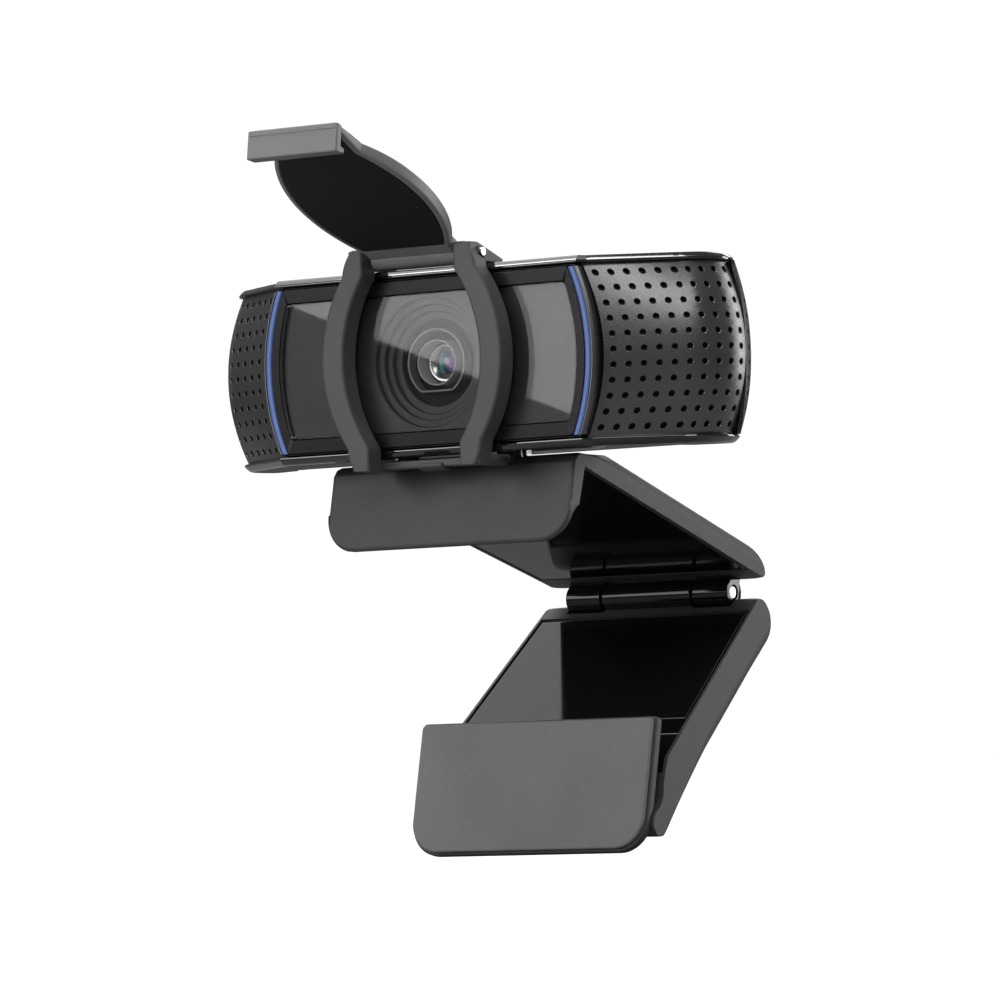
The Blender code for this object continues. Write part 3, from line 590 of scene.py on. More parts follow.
def wing_point(run, z, depth=0.0):
    """A point on the right wing, run millimetres from its root, whose bow fades towards the seam."""
    fade = 1 - max(0.0, run / WING_RUN) ** 4
    run += (strip_x(z) - strip_x(0)) / math.cos(WING_SWEEP) * fade
    turn = WING_START_TURN
    if run <= STRAIGHT_RUN:
        x = ROOT_X + run * math.cos(WING_SWEEP)
        y = wing_line_y(x)
    else:
        turn += (run - STRAIGHT_RUN) / END_RADIUS
        x = END_CENTRE[0] + END_RADIUS * math.cos(turn)
        y = END_CENTRE[1] + END_RADIUS * math.sin(turn)
    inset = end_inset(x, z) + WING_CROWN * (z / PANEL_HALF_HEIGHT) ** 2 + depth
    return x - inset * math.cos(turn), y - inset * math.sin(turn), z


def end_point(run, z, depth=0.0):
    """A point on the rear shell's round end, run millimetres behind the seam."""
    turn = END_SEAM_TURN + run / END_RADIUS
    v = z / SHELL_HALF_HEIGHT
    radius = END_RADIUS - depth - END_BOW * v * v
    swell = math.sqrt(1 - 0.98 * abs(v) ** 3)
    x, y = END_CENTRE[0] + radius * math.cos(turn), END_CENTRE[1] + radius * math.sin(turn)
    return x, END_SEAM_Y + max(0.0, y - END_SEAM_Y) * swell, z


def perforated(surface, columns, first, run_end, half_height=PANEL_HALF_HEIGHT + 0.15):
    """Points and faces of a sheet with round holes and folded edges, over a surface of (run, z, depth)."""
    points, faces, index = [], [], {}

    def vertex(run, z, depth):
        key = (round(run, 4), round(z, 4), round(depth, 4))
        if key not in index:
            index[key] = len(points)
            points.append(surface(*key))
        return index[key]

    half_run, half_z = HOLE_COLUMN_PITCH / 2, HOLE_ROW_PITCH / 2
    top = HOLE_ROWS * half_z
    sides = 16

    def cell_edge(i):
        """The point on a cell's square edge in the direction of one of the hole's points."""
        quarter, step = divmod((i + 2) % sides, 4)
        t = step / 2 - 1
        return ((1, t), (-t, 1), (-1, -t), (t, -1))[quarter]

    for column in range(columns):
        for row in range(HOLE_ROWS):
            run, z = first + HOLE_COLUMN_PITCH * column, -top + half_z * (2 * row + 1)
            loops = [[(run + a * half_run, z + b * half_z, 0.0) for a, b in map(cell_edge, range(sides))]]
            for radius, depth in ((HOLE_RADIUS + 0.08, 0.0), (HOLE_RADIUS, 0.08), (HOLE_RADIUS, SHEET_THICK)):
                turns = [2 * math.pi * i / sides for i in range(sides)]
                loops.append([(run + radius * math.cos(t), z + radius * math.sin(t), depth) for t in turns])
            for outer, inner in zip(loops, loops[1:]):
                for i in range(sides):
                    j = (i + 1) % sides
                    faces.append([vertex(*outer[i]), vertex(*outer[j]), vertex(*inner[j]), vertex(*inner[i])])

    left, right = first - half_run, first + half_run * (2 * columns - 1)
    run_cells = spaced(left, right, 4 * columns)
    z_cells = spaced(-top, top, 4 * HOLE_ROWS)
    before, behind = spaced(0.0, left, 3)[:-1], spaced(right, run_end, 6)[1:]
    above = spaced(top, half_height, 4)[1:]
    runs = before + run_cells + behind
    heights = [-z for z in reversed(above)] + z_cells + above
    for a, b in zip(runs, runs[1:]):
        for c, d in zip(heights, heights[1:]):
            if a >= left - 1e-6 and b <= right + 1e-6 and c >= -top - 1e-6 and d <= top + 1e-6:
                continue
            faces.append([vertex(a, c, 0.0), vertex(b, c, 0.0), vertex(b, d, 0.0), vertex(a, d, 0.0)])
    border = [(a, heights[0]) for a in runs] + [(runs[-1], c) for c in heights[1:]]
    border += [(a, heights[-1]) for a in reversed(runs[:-1])]
    border += [(runs[0], c) for c in reversed(heights[1:-1])]
    for i, here in enumerate(border):
        following = border[(i + 1) % len(border)]
        faces.append([vertex(*here, 0.0), vertex(*following, 0.0),
                      vertex(*following, SHEET_THICK), vertex(*here, SHEET_THICK)])
    return points, faces


def mirrored(points, side):
    return [(side * x, y, z) for x, y, z in points]


# ---- head

def build_wings():
    """The perforated wings, the cloth behind them darkened with painted shade, and the blue strips with a
    satin edge beside each.
    """
    strip = [(-0.5, 0.8), (-0.5, 0.05), (-0.38, -0.09), (-0.15, -0.15), (0.15, -0.15), (0.38, -0.09),
             (0.5, 0.05), (0.5, 0.8)]
    edge = [(0.56, 0.9), (0.56, 0.0), (0.64, -0.08), (0.8, -0.06), (1.05, 0.06), (1.25, 0.26),
            (1.34, 0.42), (1.34, 1.1)]
    strip_heights = spaced(0.35 - PANEL_HALF_HEIGHT, PANEL_HALF_HEIGHT - 0.35, 40)
    for side, name in SIDES:
        points, faces = perforated(wing_point, HOLE_COLUMNS, FIRST_HOLE, WING_RUN - 0.1)
        finish(shape(mirrored(points, side), faces), "perforated_grille_" + name, "head", "satin_grille",
               "grille_" + name, sharp=30)
        runs, heights = spaced(0.0, WING_RUN - 0.3, 20), spaced(-PANEL_HALF_HEIGHT, PANEL_HALF_HEIGHT, 12)
        rings = []
        for z in heights:
            front = [wing_point(r, z, SHEET_THICK + 0.25) for r in runs]
            back = [wing_point(r, z, WALL) for r in reversed(runs)]
            rings.append(mirrored(front + back, side))
        # the cloth's near-black is painted shade behind the holes
        finish(loft(rings), "grille_cloth_" + name, "head", "matte_black", look="black_with_painted_shade")

        blue, satin = [loft([mirrored([(strip_x(z) + a, y, z) for a, y in section], side)
                             for z in strip_heights]) for section in (strip, edge)]
        finish(blue, "blue_strip_" + name, "head", "blue_light_guide", "light_strip_" + name, sharp=60)
        finish(satin, "strip_edge_" + name, "head", "satin_grille", sharp=60)


def plan_outline(z, inset):
    """The head's plan outline at height z, moved in by inset, from left to right round the front."""
    bowed = END_BOW * (z / PANEL_HALF_HEIGHT) ** 2
    radius = END_RADIUS - bowed - inset
    turns = spaced(RIM_END_TURN, WING_START_TURN, 30)
    right = [(END_CENTRE[0] + radius * math.cos(t), END_CENTRE[1] + radius * math.sin(t)) for t in turns]
    for x in spaced(TANGENT_X, BOW_START_X + 1.0, 16)[1:]:
        y = wing_line_y(x, end_inset(x, z)) + inset * math.cos(WING_SWEEP)
        right.append((x - inset * math.sin(WING_SWEEP), max(inset, y)))
    right += [(x, inset) for x in spaced(BOW_START_X, 0.0, 14)]
    return [(-x, y) for x, y in right] + [(x, y) for x, y in reversed(right[:-1])]


def build_covers():
    """The gloss rims above and below the front, each with a rolled front edge."""
    levels = [(1.3, 13.3), (0.16, 13.3), (0.03, 13.36), (0.0, 13.5), (0.0, 13.6), (0.06, 13.74),
              (0.5, 14.18), (0.72, 14.34), (0.92, 14.45), (1.2, HALF_HEIGHT), (1.6, HALF_HEIGHT)]
    for flip, name in ((1, "top"), (-1, "bottom")):
        rings = []
        for inset, z in levels:
            front = plan_outline(HALF_HEIGHT, inset)
            end_x, end_y = front[-1]
            middle_x = END_CENTRE[0] - 1.0
            back = [(end_x - 0.8, end_y + 0.1), (middle_x + 1.0, END_SEAM_Y - 0.1), (middle_x, SEAM_Y - GAP)]
            back += [(x, SEAM_Y - GAP) for x in spaced(middle_x - 1.5, 1.5 - middle_x, 24)]
            back += [(-x, y) for x, y in reversed(back[:3])]
            rings.append([(x, y, flip * z) for x, y in front + back])
        cover = loft(rings)
        if flip < 0:
            cover = cut(cover, prism(box_outline((-12.7, 7.5), (12.7, 11.5)), "Z", -16, -12),
                        *[rod((x, 13.0), 1.1, -16, -11, "Z", 32) for x in (-6, 6)])
        finish(cover, name + "_rim", "head", "gloss_black", name + "_cover", look="rim_black", sharp=12)


def seam_y(x):
    share = share_of(abs(x), END_CENTRE[0] - 1.5, END_CENTRE[0])
    return SEAM_Y + (END_SEAM_Y + 0.1 - SEAM_Y) * share


def rear_row(v, wall, end_turn):
    """One row of the rear shell at height share v, from the left end round the back to the right."""
    swell = math.sqrt(1 - 0.98 * abs(v) ** 3)
    radius = END_RADIUS - wall - END_BOW * v * v
    half = []
    for x in spaced(0.0, END_CENTRE[0], 20):
        half.append((x, BACK_Y + (END_BACK_Y - BACK_Y) * (x / END_CENTRE[0]) ** 2 - wall))
    for turn in spaced(math.pi / 2, end_turn, 14)[1:]:
        half.append((END_CENTRE[0] + radius * math.cos(turn), END_CENTRE[1] + radius * math.sin(turn)))
    z = v * (SHELL_HALF_HEIGHT - wall)
    row = []
    for x, y in half:
        base = seam_y(x)
        row.append((x, base + max(0.0, y - base) * swell, z))
    return [(-x, y, z) for x, y, z in reversed(row[1:])] + row


def build_rear():
    """The rear shell, the perforated round ends, and the collar round the cable."""
    end_turn = END_SEAM_TURN + VENT_RUN / END_RADIUS
    shares = [math.sin(math.pi / 2 * t) for t in spaced(-1.0, 1.0, 36)]
    outer = [rear_row(v, 0.0, end_turn) for v in shares]
    inner = [rear_row(v, WALL, end_turn) for v in shares]
    rings = [front + back[::-1] for front, back in zip(outer, inner)]
    shell = cut(loft(rings), rod((0, GLAND_Z), GLAND_RADIUS + GAP, 18, 30, "Y"))
    finish(shell, "rear_casing", "head", "matte_black", "rear_shell", sharp=50)
    for side, name in SIDES:
        points, faces = perforated(end_point, VENT_COLUMNS, VENT_FIRST, VENT_RUN + 0.05)
        finish(shape(mirrored(points, side), faces), "end_vent_" + name, "head", "satin_grille", sharp=30)
        rings = []
        for z in spaced(-PANEL_HALF_HEIGHT, PANEL_HALF_HEIGHT, 12):
            front = [end_point(r, z, SHEET_THICK + 0.2) for r in spaced(0.1, VENT_RUN, 10)]
            back = [end_point(r, z, WALL) for r in spaced(VENT_RUN, 0.1, 10)]
            rings.append(mirrored(front + back, side))
        # the vent cloth's near-black is painted shade behind the holes
        finish(loft(rings), "vent_cloth_" + name, "head", "matte_black", look="black_with_painted_shade")

    profile = [(2.2, 20.0), (GLAND_RADIUS + 1.2, 20.0), (GLAND_RADIUS + 1.2, 21.2), (GLAND_RADIUS, 21.2),
               (GLAND_RADIUS, 24.0)]
    for y in (24.4, 25.2, 26.0):
        profile += [(GLAND_RADIUS, y - 0.2), (GLAND_RADIUS, y + 0.2), (GLAND_RADIUS - 0.5, y + 0.3),
                    (GLAND_RADIUS - 0.5, y + 0.5)]
    profile += [(3.1, 26.9), (2.9, 27.2), (2.3, 27.2), (2.2, 27.1)]
    finish(turned(profile, (0, GLAND_Z)), "strain_relief_collar", "head", "black_rubber", "cable_gland")


def build_front():
    """The gloss frame, and the clear window in it."""
    levels = [(1.1, 13.1, 4.8), (1.1, 13.1, 0.25), (1.04, 13.04, 0.1), (0.6, 12.98, 0.1), (0.56, 12.93, 1.0),
              (-0.56, 12.8, 1.0), (-0.56, 12.8, 0.03), (-0.64, 12.72, -0.05), (-1.97, 10.78, -0.05),
              (-2.05, 10.7, 0.03), (-2.05, 10.7, 0.9)]
    levels += [(WINDOW_OFFSET, WINDOW_HALF_HEIGHT, y) for y in (1.2, 4.8)]
    rings = [at_depth(panel_loop(offset, half, 0.9), y) for offset, half, y in levels]
    finish(loft(rings, "wrap"), "gloss_frame", "head", "gloss_black", "front_frame", look="frame_black")

    levels = [(WINDOW_OFFSET, WINDOW_HALF_HEIGHT, y) for y in (0.75, 0.03)]
    levels += [(-2.19, 10.56, -0.03), (-2.26, 10.49, -0.05)]
    rings = [at_depth(panel_loop(offset, half, 0.8), y) for offset, half, y in levels]
    finish(loft(rings), "window_pane", "head", "clear_window", "front_window", sharp=30)


def well_loop(grow, y):
    """The outline of the well round the lens, a circle with a flat foot, moved out by grow."""
    flat, reach = WELL_FLAT_Z - grow, WELL_RADIUS + grow
    made = []
    for turn in spaced(0, 2 * math.pi, 96)[:-1]:
        radius = flat / math.sin(turn) if reach * math.sin(turn) < flat else reach
        made.append((radius * math.cos(turn), y, radius * math.sin(turn)))
    return made


def round_loop(radius, y):
    return at_depth(circle((0, 0), radius, 96), y)


def build_mask():
    """The grey mask, whose stepped rings go in towards the lens."""
    work = bmesh.new()

    def wall(loops):
        """Faces from loop to loop. It returns the edges of the first loop and of the last."""
        rings = [[work.verts.new(place(*p)) for p in loop] for loop in loops]
        for outer, inner in zip(rings, rings[1:]):
            for i in range(len(outer)):
                j = (i + 1) % len(outer)
                work.faces.new((outer[i], outer[j], inner[j], inner[i]))
        return [[work.edges.get((ring[i], ring[(i + 1) % len(ring)])) for i in range(len(ring))]
                for ring in (rings[0], rings[-1])]

    chamfer = 0.14
    steps = []
    for radius, y, floor_y in RING_STEPS:
        steps += [round_loop(radius + chamfer, y), round_loop(radius, y + chamfer)]
        steps.append(round_loop(radius, floor_y))
    steps.append(round_loop(RING_STEPS[-1][0], MASK_BACK_Y))
    rims = [at_depth(panel_loop(-2.2 - shrink, 10.55 - shrink, 1.3), y)
            for shrink, y in ((0.08, 1.0), (0.0, 1.08), (0.0, MASK_BACK_Y))]
    step_ends, rim_ends = wall(steps), wall(rims)
    for rim_edges, step_edges in zip(rim_ends, step_ends):
        bmesh.ops.triangle_fill(work, edges=rim_edges + step_edges, use_beauty=True)
    bmesh.ops.recalc_face_normals(work, faces=work.faces)
    mesh = bpy.data.meshes.new("mask")
    work.to_mesh(mesh)
    work.free()
    finish(add_object("mask", mesh), "stepped_mask", "head", "mask_grey", "inner_mask", sharp=30)


def build_well():
    """The surround of the lens, in the mask's slot but near-black with painted shade, and the satin edge of
    its well.
    """
    outer, face_y = RING_STEPS[-1][0] - 0.05, RING_STEPS[-1][2]
    surround = [round_loop(outer, face_y + 0.1), well_loop(0.38, face_y + 0.1), well_loop(0.38, WELL_FLOOR_Y),
                round_loop(LENS_HOLE_RADIUS, WELL_FLOOR_Y), round_loop(LENS_HOLE_RADIUS, SURROUND_BACK_Y),
                round_loop(outer, SURROUND_BACK_Y)]
    # the surround's near-black is painted shade in the lens well
    finish(loft(surround, "wrap"), "lens_surround", "head", "mask_grey", look="black_with_painted_shade", sharp=30)
    levels = ((0.34, WELL_FLOOR_Y - 0.1), (0.34, face_y - 1.3), (0.28, face_y - 1.38), (0.06, face_y - 1.38),
              (0.0, face_y - 1.3), (0.0, WELL_FLOOR_Y - 0.1))
    edge = [well_loop(grow, y) for grow, y in levels]
    finish(loft(edge, "wrap"), "lens_well_edge", "head", "silver_trim", look="satin_silver")


def build_lens():
    profile = [(1.62, 5.85), (1.68, 5.68), (1.9, 5.5), (2.3, 5.28), (2.6, 5.14), (2.78, 5.14), (2.88, 5.26),
               (2.95, 5.5), (3.35, 5.9), (3.35, 6.4), (1.62, 6.4)]
    finish(turned(profile, (0, 0)), "lens_ring", "head", "silver_trim", "lens_trim_ring", sharp=50)
    profile = [(3.38, 3.05), (3.42, 3.0), (3.5, 3.0), (3.54, 3.05), (3.54, 6.4), (3.38, 6.4)]
    # the sleeve's pale look is painted light on its inner wall
    finish(turned(profile, (0, 0)), "lens_sleeve", "head", "silver_trim", look="silver_with_painted_light")
    back_y = 9.0
    dome = [(LENS_RADIUS * math.sin(t), 5.95 - 0.6 * math.cos(t)) for t in spaced(0.001, math.pi / 2, 14)]
    dome = [(0.0001, back_y)] + dome + [(LENS_RADIUS, back_y)]
    finish(turned(dome, (0, 0)), "coated_front_lens", "head", "clear_window", "lens_front_element",
           look="lens_with_painted_reflection", sharp=60)


# ---- privacy shutter

def bar_ring(z, side):
    """The rounded section of a shutter bar at height z. Its outer edge comes in towards both ends."""
    inner = bow(z - BAR_BOW_MIDDLE_Z, BAR_INNER_END_X, BAR_BOW, BAR_BOW_HALF_HEIGHT)
    top, low = max(0.0, z - BAR_TOP_Z + 4.6) / 4.6, max(0.0, BAR_BOTTOM_Z + 4.0 - z) / 4.0
    outer = inner + BAR_WIDTH - 1.9 * top ** 2.2 - 1.2 * low ** 2.2
    corners = [(inner, BAR_BACK_Y), (inner, BAR_FRONT_Y), (outer, BAR_FRONT_Y), (outer, BAR_BACK_Y)]
    return [(side * x, y, z) for x, y in fillet(corners, 0.55, 4)]


def build_shutter_frame():
    """Two curved bars with ears and hooks, joined above and below the head."""
    heights = [BAR_BOTTOM_Z, BAR_BOTTOM_Z + 0.08] + spaced(BAR_BOTTOM_Z + 0.3, BAR_TOP_Z - 0.3, 64)
    heights += [BAR_TOP_Z - 0.08, BAR_TOP_Z]
    over, under = HALF_HEIGHT + GAP, -HALF_HEIGHT - GAP
    ear = fillet([(BAR_FRONT_Y + 0.5, over - 2), (BAR_BACK_Y - 0.3, over - 2), (BAR_BACK_Y - 0.3, over),
                  (5.6, over), (5.6, over + 0.5), (-1.4, BAR_TOP_Z - 0.05),
                  (BAR_FRONT_Y + 0.5, BAR_TOP_Z - 0.05)], 0.35, 4)
    hook = fillet([(BAR_FRONT_Y + 0.5, under + 2), (BAR_BACK_Y - 0.3, under + 2), (BAR_BACK_Y - 0.3, under),
                   (5.2, under), (5.2, under - 0.9), (4.0, BAR_BOTTOM_Z + 0.05),
                   (BAR_FRONT_Y + 0.5, BAR_BOTTOM_Z + 0.05)], 0.45, 4)
    parts = []
    for side in (-1, 1):
        rings = []
        for z in heights:
            ring = bar_ring(z, side)
            centre = (sum(p[0] for p in ring) / len(ring), (BAR_FRONT_Y + BAR_BACK_Y) / 2)
            squeeze = 0.93 if z in (BAR_BOTTOM_Z, BAR_TOP_Z) else 1.0
            rings.append([(centre[0] + (x - centre[0]) * squeeze,
                           centre[1] + (y - centre[1]) * squeeze, h) for x, y, h in ring])
        parts.append(loft(rings))
        ear_x = sorted((side * (BAR_INNER_END_X + 0.15), side * (BAR_INNER_END_X + 2.9)))
        hook_x = sorted((side * (BAR_INNER_END_X + 0.2), side * (BAR_INNER_END_X + 3.4)))
        parts.append(eased(ear, *ear_x, 0.25))
        parts.append(eased(hook, *hook_x, 0.3))
    parts.append(prism(fillet(box_outline((1.2, 14.9), (5.2, 15.9)), 0.25), "X", -9, 9))
    parts.append(prism(fillet(box_outline((0.6, -16.2), (4.8, -15.0)), 0.3), "X", -9, 9))
    latch = [(0.0, -16.2), (1.2, -16.75), (2.6, -16.75), (3.4, -16.2), (3.4, -15.6), (0.0, -15.6)]
    parts.append(eased(fillet(latch, 0.4, 3), -2.3, 2.3, 0.4))
    made = cut(join(*parts), rod(LID_AXIS, PIN_BORE, -14, 14))
    finish(made, "shutter_grip", "head", "shutter_grey", "shutter_frame", sharp=45)
    for side, name in SIDES:
        x = side * (BAR_INNER_END_X + 2.9)
        levels = ((0.0001, 0), (0.7, 0), (0.85, 0.05), (0.9, 0.18), (0.0001, 0.18))
        profile = [(radius, x + side * out) for radius, out in levels]
        finish(turned(profile, LID_AXIS, "X", 48), "pin_cap_" + name, "head", "matte_black")


def lid_half_width(along):
    return bow(along - LID_BOW_MIDDLE, LID_END_HALF_WIDTH, LID_BOW, BAR_BOW_HALF_HEIGHT)


def lid_outer(along):
    """The height of the lid's outer face over its axis: flat, then falling a little towards the tab."""
    return LID_OUTER - LID_END_DROP * share_of(along, LID_FALL_START, LID_LENGTH) ** 2


def lid_ring(along, inset, low, high, radius):
    half = lid_half_width(along) - inset
    section = fillet([(-half, low), (half, low), (half, high), (-half, high)], radius, 4)
    return [(x, *lid_point(along, out)) for x, out in section]


def build_lid():
    """The flip-up lid: a rounded plate, a black inner panel darkened further with painted shade, a folded tab
    and the hinge barrel.
    """
    stations = [1.6, 2.2] + spaced(3.0, LID_LENGTH - 0.2, 56)
    plate = loft([lid_ring(a, 0.0, LID_UNDER, lid_outer(a), 0.5) for a in stations])
    low, high = LID_UNDER - 1.0, LID_UNDER + 0.35
    plate = cut(plate, loft([lid_ring(a, 0.85, low, high, 0.3) for a in spaced(3.6, LID_LENGTH - 1.6, 56)]))
    corner = lid_point(LID_LENGTH, lid_outer(LID_LENGTH))
    profile = ((0, 0), (TAB_LENGTH, 0), (TAB_LENGTH, 2.2), (TAB_LENGTH - 0.9, 2.2), (TAB_LENGTH - 1.0, 1.3),
               (0.3, 1.3))
    outline = fillet([step_from(corner, TAB_ANGLE, a, h) for a, h in profile], 0.3, 3)
    tab = soften(prism(outline, "X", -TAB_HALF_WIDTH, TAB_HALF_WIDTH), 0.22, 3)
    web = ((0.3, LID_UNDER + 0.1), (2.4, LID_UNDER + 0.2), (2.4, 1.2), (0.3, 1.3))
    web = [lid_point(a, h) for a, h in web]
    barrel = soften(rod(LID_AXIS, 1.45, -7.9, 7.9), 0.2, 2)
    made = cut(join(plate, tab, barrel, prism(web, "X", -7.9, 7.9)), rod(LID_AXIS, PIN_BORE, -9, 9))
    finish(made, "flip_lid", "shutter", "shutter_grey", "shutter_lid", look="lid_grey", sharp=45)
    low, high = LID_UNDER + 0.02, LID_UNDER + 0.3
    panel = loft([lid_ring(a, 1.1, low, high, 0.1) for a in spaced(3.9, LID_LENGTH - 1.9, 48)])
    # the lining's near-black is black plastic with painted shade under the lid
    finish(panel, "lid_lining", "shutter", "matte_black", look="black_with_painted_shade")


# ---- clip

def side_round(distance, radius):
    """How far a rounded edge has fallen at this distance in from the side."""
    if distance >= radius:
        return 0.0
    return radius - math.sqrt(radius ** 2 - (radius - distance) ** 2)


SIDE_STATIONS = (0.0, 0.03, 0.1, 0.22, 0.4, 0.65, 1.0, 1.4, 1.9, 2.5, 3.2, 4.0, 5.2)


def across(section, width):
    """Rings across the clip. section(distance from the side) gives (y, z), width(y) the half width."""
    rings = []
    for side in (-1, 1):
        stations = SIDE_STATIONS if side < 0 else SIDE_STATIONS[::-1]
        for distance in stations:
            rings.append([(side * (width(y) - distance), y, z) for y, z in section(distance)])
    return rings


def upper_half_width(y):
    return FRONT_HALF_WIDTH - (FRONT_HALF_WIDTH - HINGE_HALF_WIDTH) * share_of(y, 9.0, 64.0)


def lower_half_width(y):
    return FRONT_HALF_WIDTH - (FRONT_HALF_WIDTH - HINGE_HALF_WIDTH) * share_of(y, 26.0, 64.0)


def lug_range(side, inner, outer):
    """The X range of a lug, from its inner face to its outer one, in rising order."""
    return sorted((side * inner, side * outer))


def jaw_section(distance):
    """The upper jaw's side outline, at this distance in from its side."""
    fall, lift = side_round(distance, SIDE_ROUND), side_round(distance, CORNER_ROUND)
    soft = side_round(distance, 0.8)
    tip = LIP_TIP_THICK / 2
    turns = spaced(math.pi, 0, 8)
    points = [lip_point(tip - tip * math.sin(a) + lift, tip - tip * math.cos(a)) for a in turns]
    points += [lip_point(max(along, lift + 1.0 + along * 0.01), soft * 0.5) for along in (4.0, 8.0, 12.3)]
    points += [(7.4, JAW_TOP_Z - 0.3 - soft * 0.3), (8.3, JAW_TOP_Z - soft * 0.3),
               (13.0, JAW_TOP_Z - fall * 0.25), (18.9, JAW_TOP_Z - fall)]
    share = fall / UPPER_THICK
    rear = [(35.0, UPPER_THICK), (54.5, UPPER_THICK), (56.0, 4.7), (57.3, 4.35), (58.3, 3.8), (59.0, 3.1),
            (59.4, 2.3), (59.6, 1.5), (59.5, 0.8), (59.1, 0.25), (58.6, 0.0)]
    for along, height in rear:
        pull = 0.4 * fall * max(0.0, along - 54.5) / 5
        points.append(upper_point(along - pull, height * (1 - share)))
    points += [upper_point(30.0, 0.0), APEX]
    points.append(lip_point(max(6.0, lift + 0.9), (LIP_TIP_THICK + LIP_ROOT_THICK) / 2))
    return points


def lining(point, width, rows, inset, deep, lift=0.0, lean=0.0):
    """A slab along an arm, from lift above its rows of (along, height) to deep below them, leant by lean."""
    rings = []
    for along, height in rows:
        a, b = point(along, height + lift), point(along + lean * deep, height - deep)
        half = width(a[0]) - inset
        rings.append([(-half, *a), (half, *a), (half, *b), (-half, *b)])
    return loft(rings)


def knuckle(low, high):
    """A hinge barrel with eased ends, bored for the pin."""
    radius = KNUCKLE_RADIUS
    levels = ((KNUCKLE_BORE, 0), (radius - 0.25, 0), (radius - 0.07, 0.07), (radius, 0.25))
    profile = [(r, low + rise) for r, rise in levels] + [(r, high - rise) for r, rise in reversed(levels)]
    return turned(profile, HINGE_AXIS, "X")


def build_jaw():
    shell = loft(across(jaw_section, upper_half_width))
    pocket_rows = [(s, LINER_THICK + GAP) for s in (1.2, 27.0, 54.0)]
    pocket = lining(upper_point, upper_half_width, pocket_rows, RIM, LINER_THICK + GAP + 1.0)
    low, high = LIP_PAD_RANGE
    slope = (LIP_ROOT_THICK - LIP_TIP_THICK) / 11.0

    def depth_at(along):
        return LIP_TIP_THICK + slope * along

    pad_pocket = [lip_point(low - GAP, depth_at(low) - 0.7), lip_point(high + GAP, depth_at(high) - 0.7),
                  lip_point(high + GAP, 8), lip_point(low - GAP, 8)]
    pad_pocket = prism(pad_pocket, "X", -PAD_HALF_WIDTH - GAP, PAD_HALF_WIDTH + GAP)
    shell = cut(shell, pocket, pad_pocket, rod(TILT_AXIS, 1.95, -12.7, 12.7))
    lugs = []
    for side, name in SIDES:
        tilt_x = lug_range(side, 7.7, 10.95)
        lugs += [prism(box_outline((6.9, -16.0), (12.1, -15.2)), "X", *tilt_x),
                 prism(box_outline((8.1, -15.6), (10.9, -14.6)), "X", *tilt_x),
                 soften(rod(TILT_AXIS, 1.5, *tilt_x), 0.15, 2)]
        knuckle_x = lug_range(side, KNUCKLE_SPLIT_X + 0.2, KNUCKLE_END_X)
        block = [upper_point(a, h) for a, h in ((56.0, 0.6), (56.0, -2.0), (58.8, -2.0), (58.8, 0.6))]
        barrel = join(knuckle(*knuckle_x), prism(block, "X", *knuckle_x))
        barrel = cut(barrel, rod(HINGE_AXIS, KNUCKLE_BORE, -17, 17))
        finish(barrel, "jaw_knuckle_" + name, "clip", "gloss_black")
    shell = cut(join(shell, *lugs), rod(TILT_AXIS, PIN_BORE, -14, 14))
    finish(shell, "upper_jaw", "clip", "dark_grey_plastic", "upper_jaw_shell", sharp=32)

    rows = [(s, LINER_THICK) for s in spaced(1.6, 53.6, 12)]
    liner = soften(lining(upper_point, upper_half_width, rows, RIM + GAP, LINER_THICK), 0.2, 3)
    finish(liner, "jaw_lining", "clip", "gloss_black", "upper_jaw_liner")
    pad = [lip_point(low, depth_at(low) - 0.4), lip_point(high, depth_at(high) - 0.4),
           lip_point(high, LIP_PAD_FACE), lip_point(low, LIP_PAD_FACE)]
    pad = soften(prism(pad, "X", -PAD_HALF_WIDTH, PAD_HALF_WIDTH), 0.25, 3)
    finish(pad, "lip_rubber", "clip", "black_rubber", "lip_pad")


def arm_section(distance):
    """The lower arm's side outline, at this distance in from its side."""
    fall = side_round(distance, SIDE_ROUND)
    points = [lower_point(*p) for p in arc((0, 0), TIP_RADIUS, 90, 270, 14)]
    thick = LOWER_FACE - LOWER_BACK
    back = [(0.9, -2.18)] + [(along, LOWER_BACK) for along in (1.8, 6.0, 20.0, 40.0, 48.2)]
    back += [(49.3, -1.95), (50.2, -1.4), (50.9, -0.6), (51.4, 0.4), (51.6, 1.4), (51.6, 3.0), (51.4, 4.1),
             (51.0, 5.0), (50.3, 5.8), (49.3, LOWER_FACE)]
    for along, height in back:
        share = (LOWER_FACE - height) / thick * min(1.0, along / 20.0)
        points.append(lower_point(along - 0.3 * fall * max(0.0, along - 48) / 4, height + fall * share))
    front = [(along, LOWER_FACE) for along in (40.0, 25.0, 16.0, 9.2)]
    front += [(8.4, 6.1), (7.8, 5.75), (6.4, 4.95), (5.0, 4.1), (3.4, 2.5), (1.6, 1.95)]
    return points + [lower_point(*p) for p in front]


def cover_rows(grow):
    """Rows of the arm's inner cover: a low floor behind the tip, a step up, and the face up to the hinge."""
    return [(6.6 - grow, LOWER_FLOOR), (STEP_FOOT_S - 0.6, LOWER_FLOOR),
            (STEP_TOP_S - 1.2, LOWER_FLOOR + 0.6), (STEP_TOP_S, LOWER_FACE), (45.8 + grow, LOWER_FACE)]


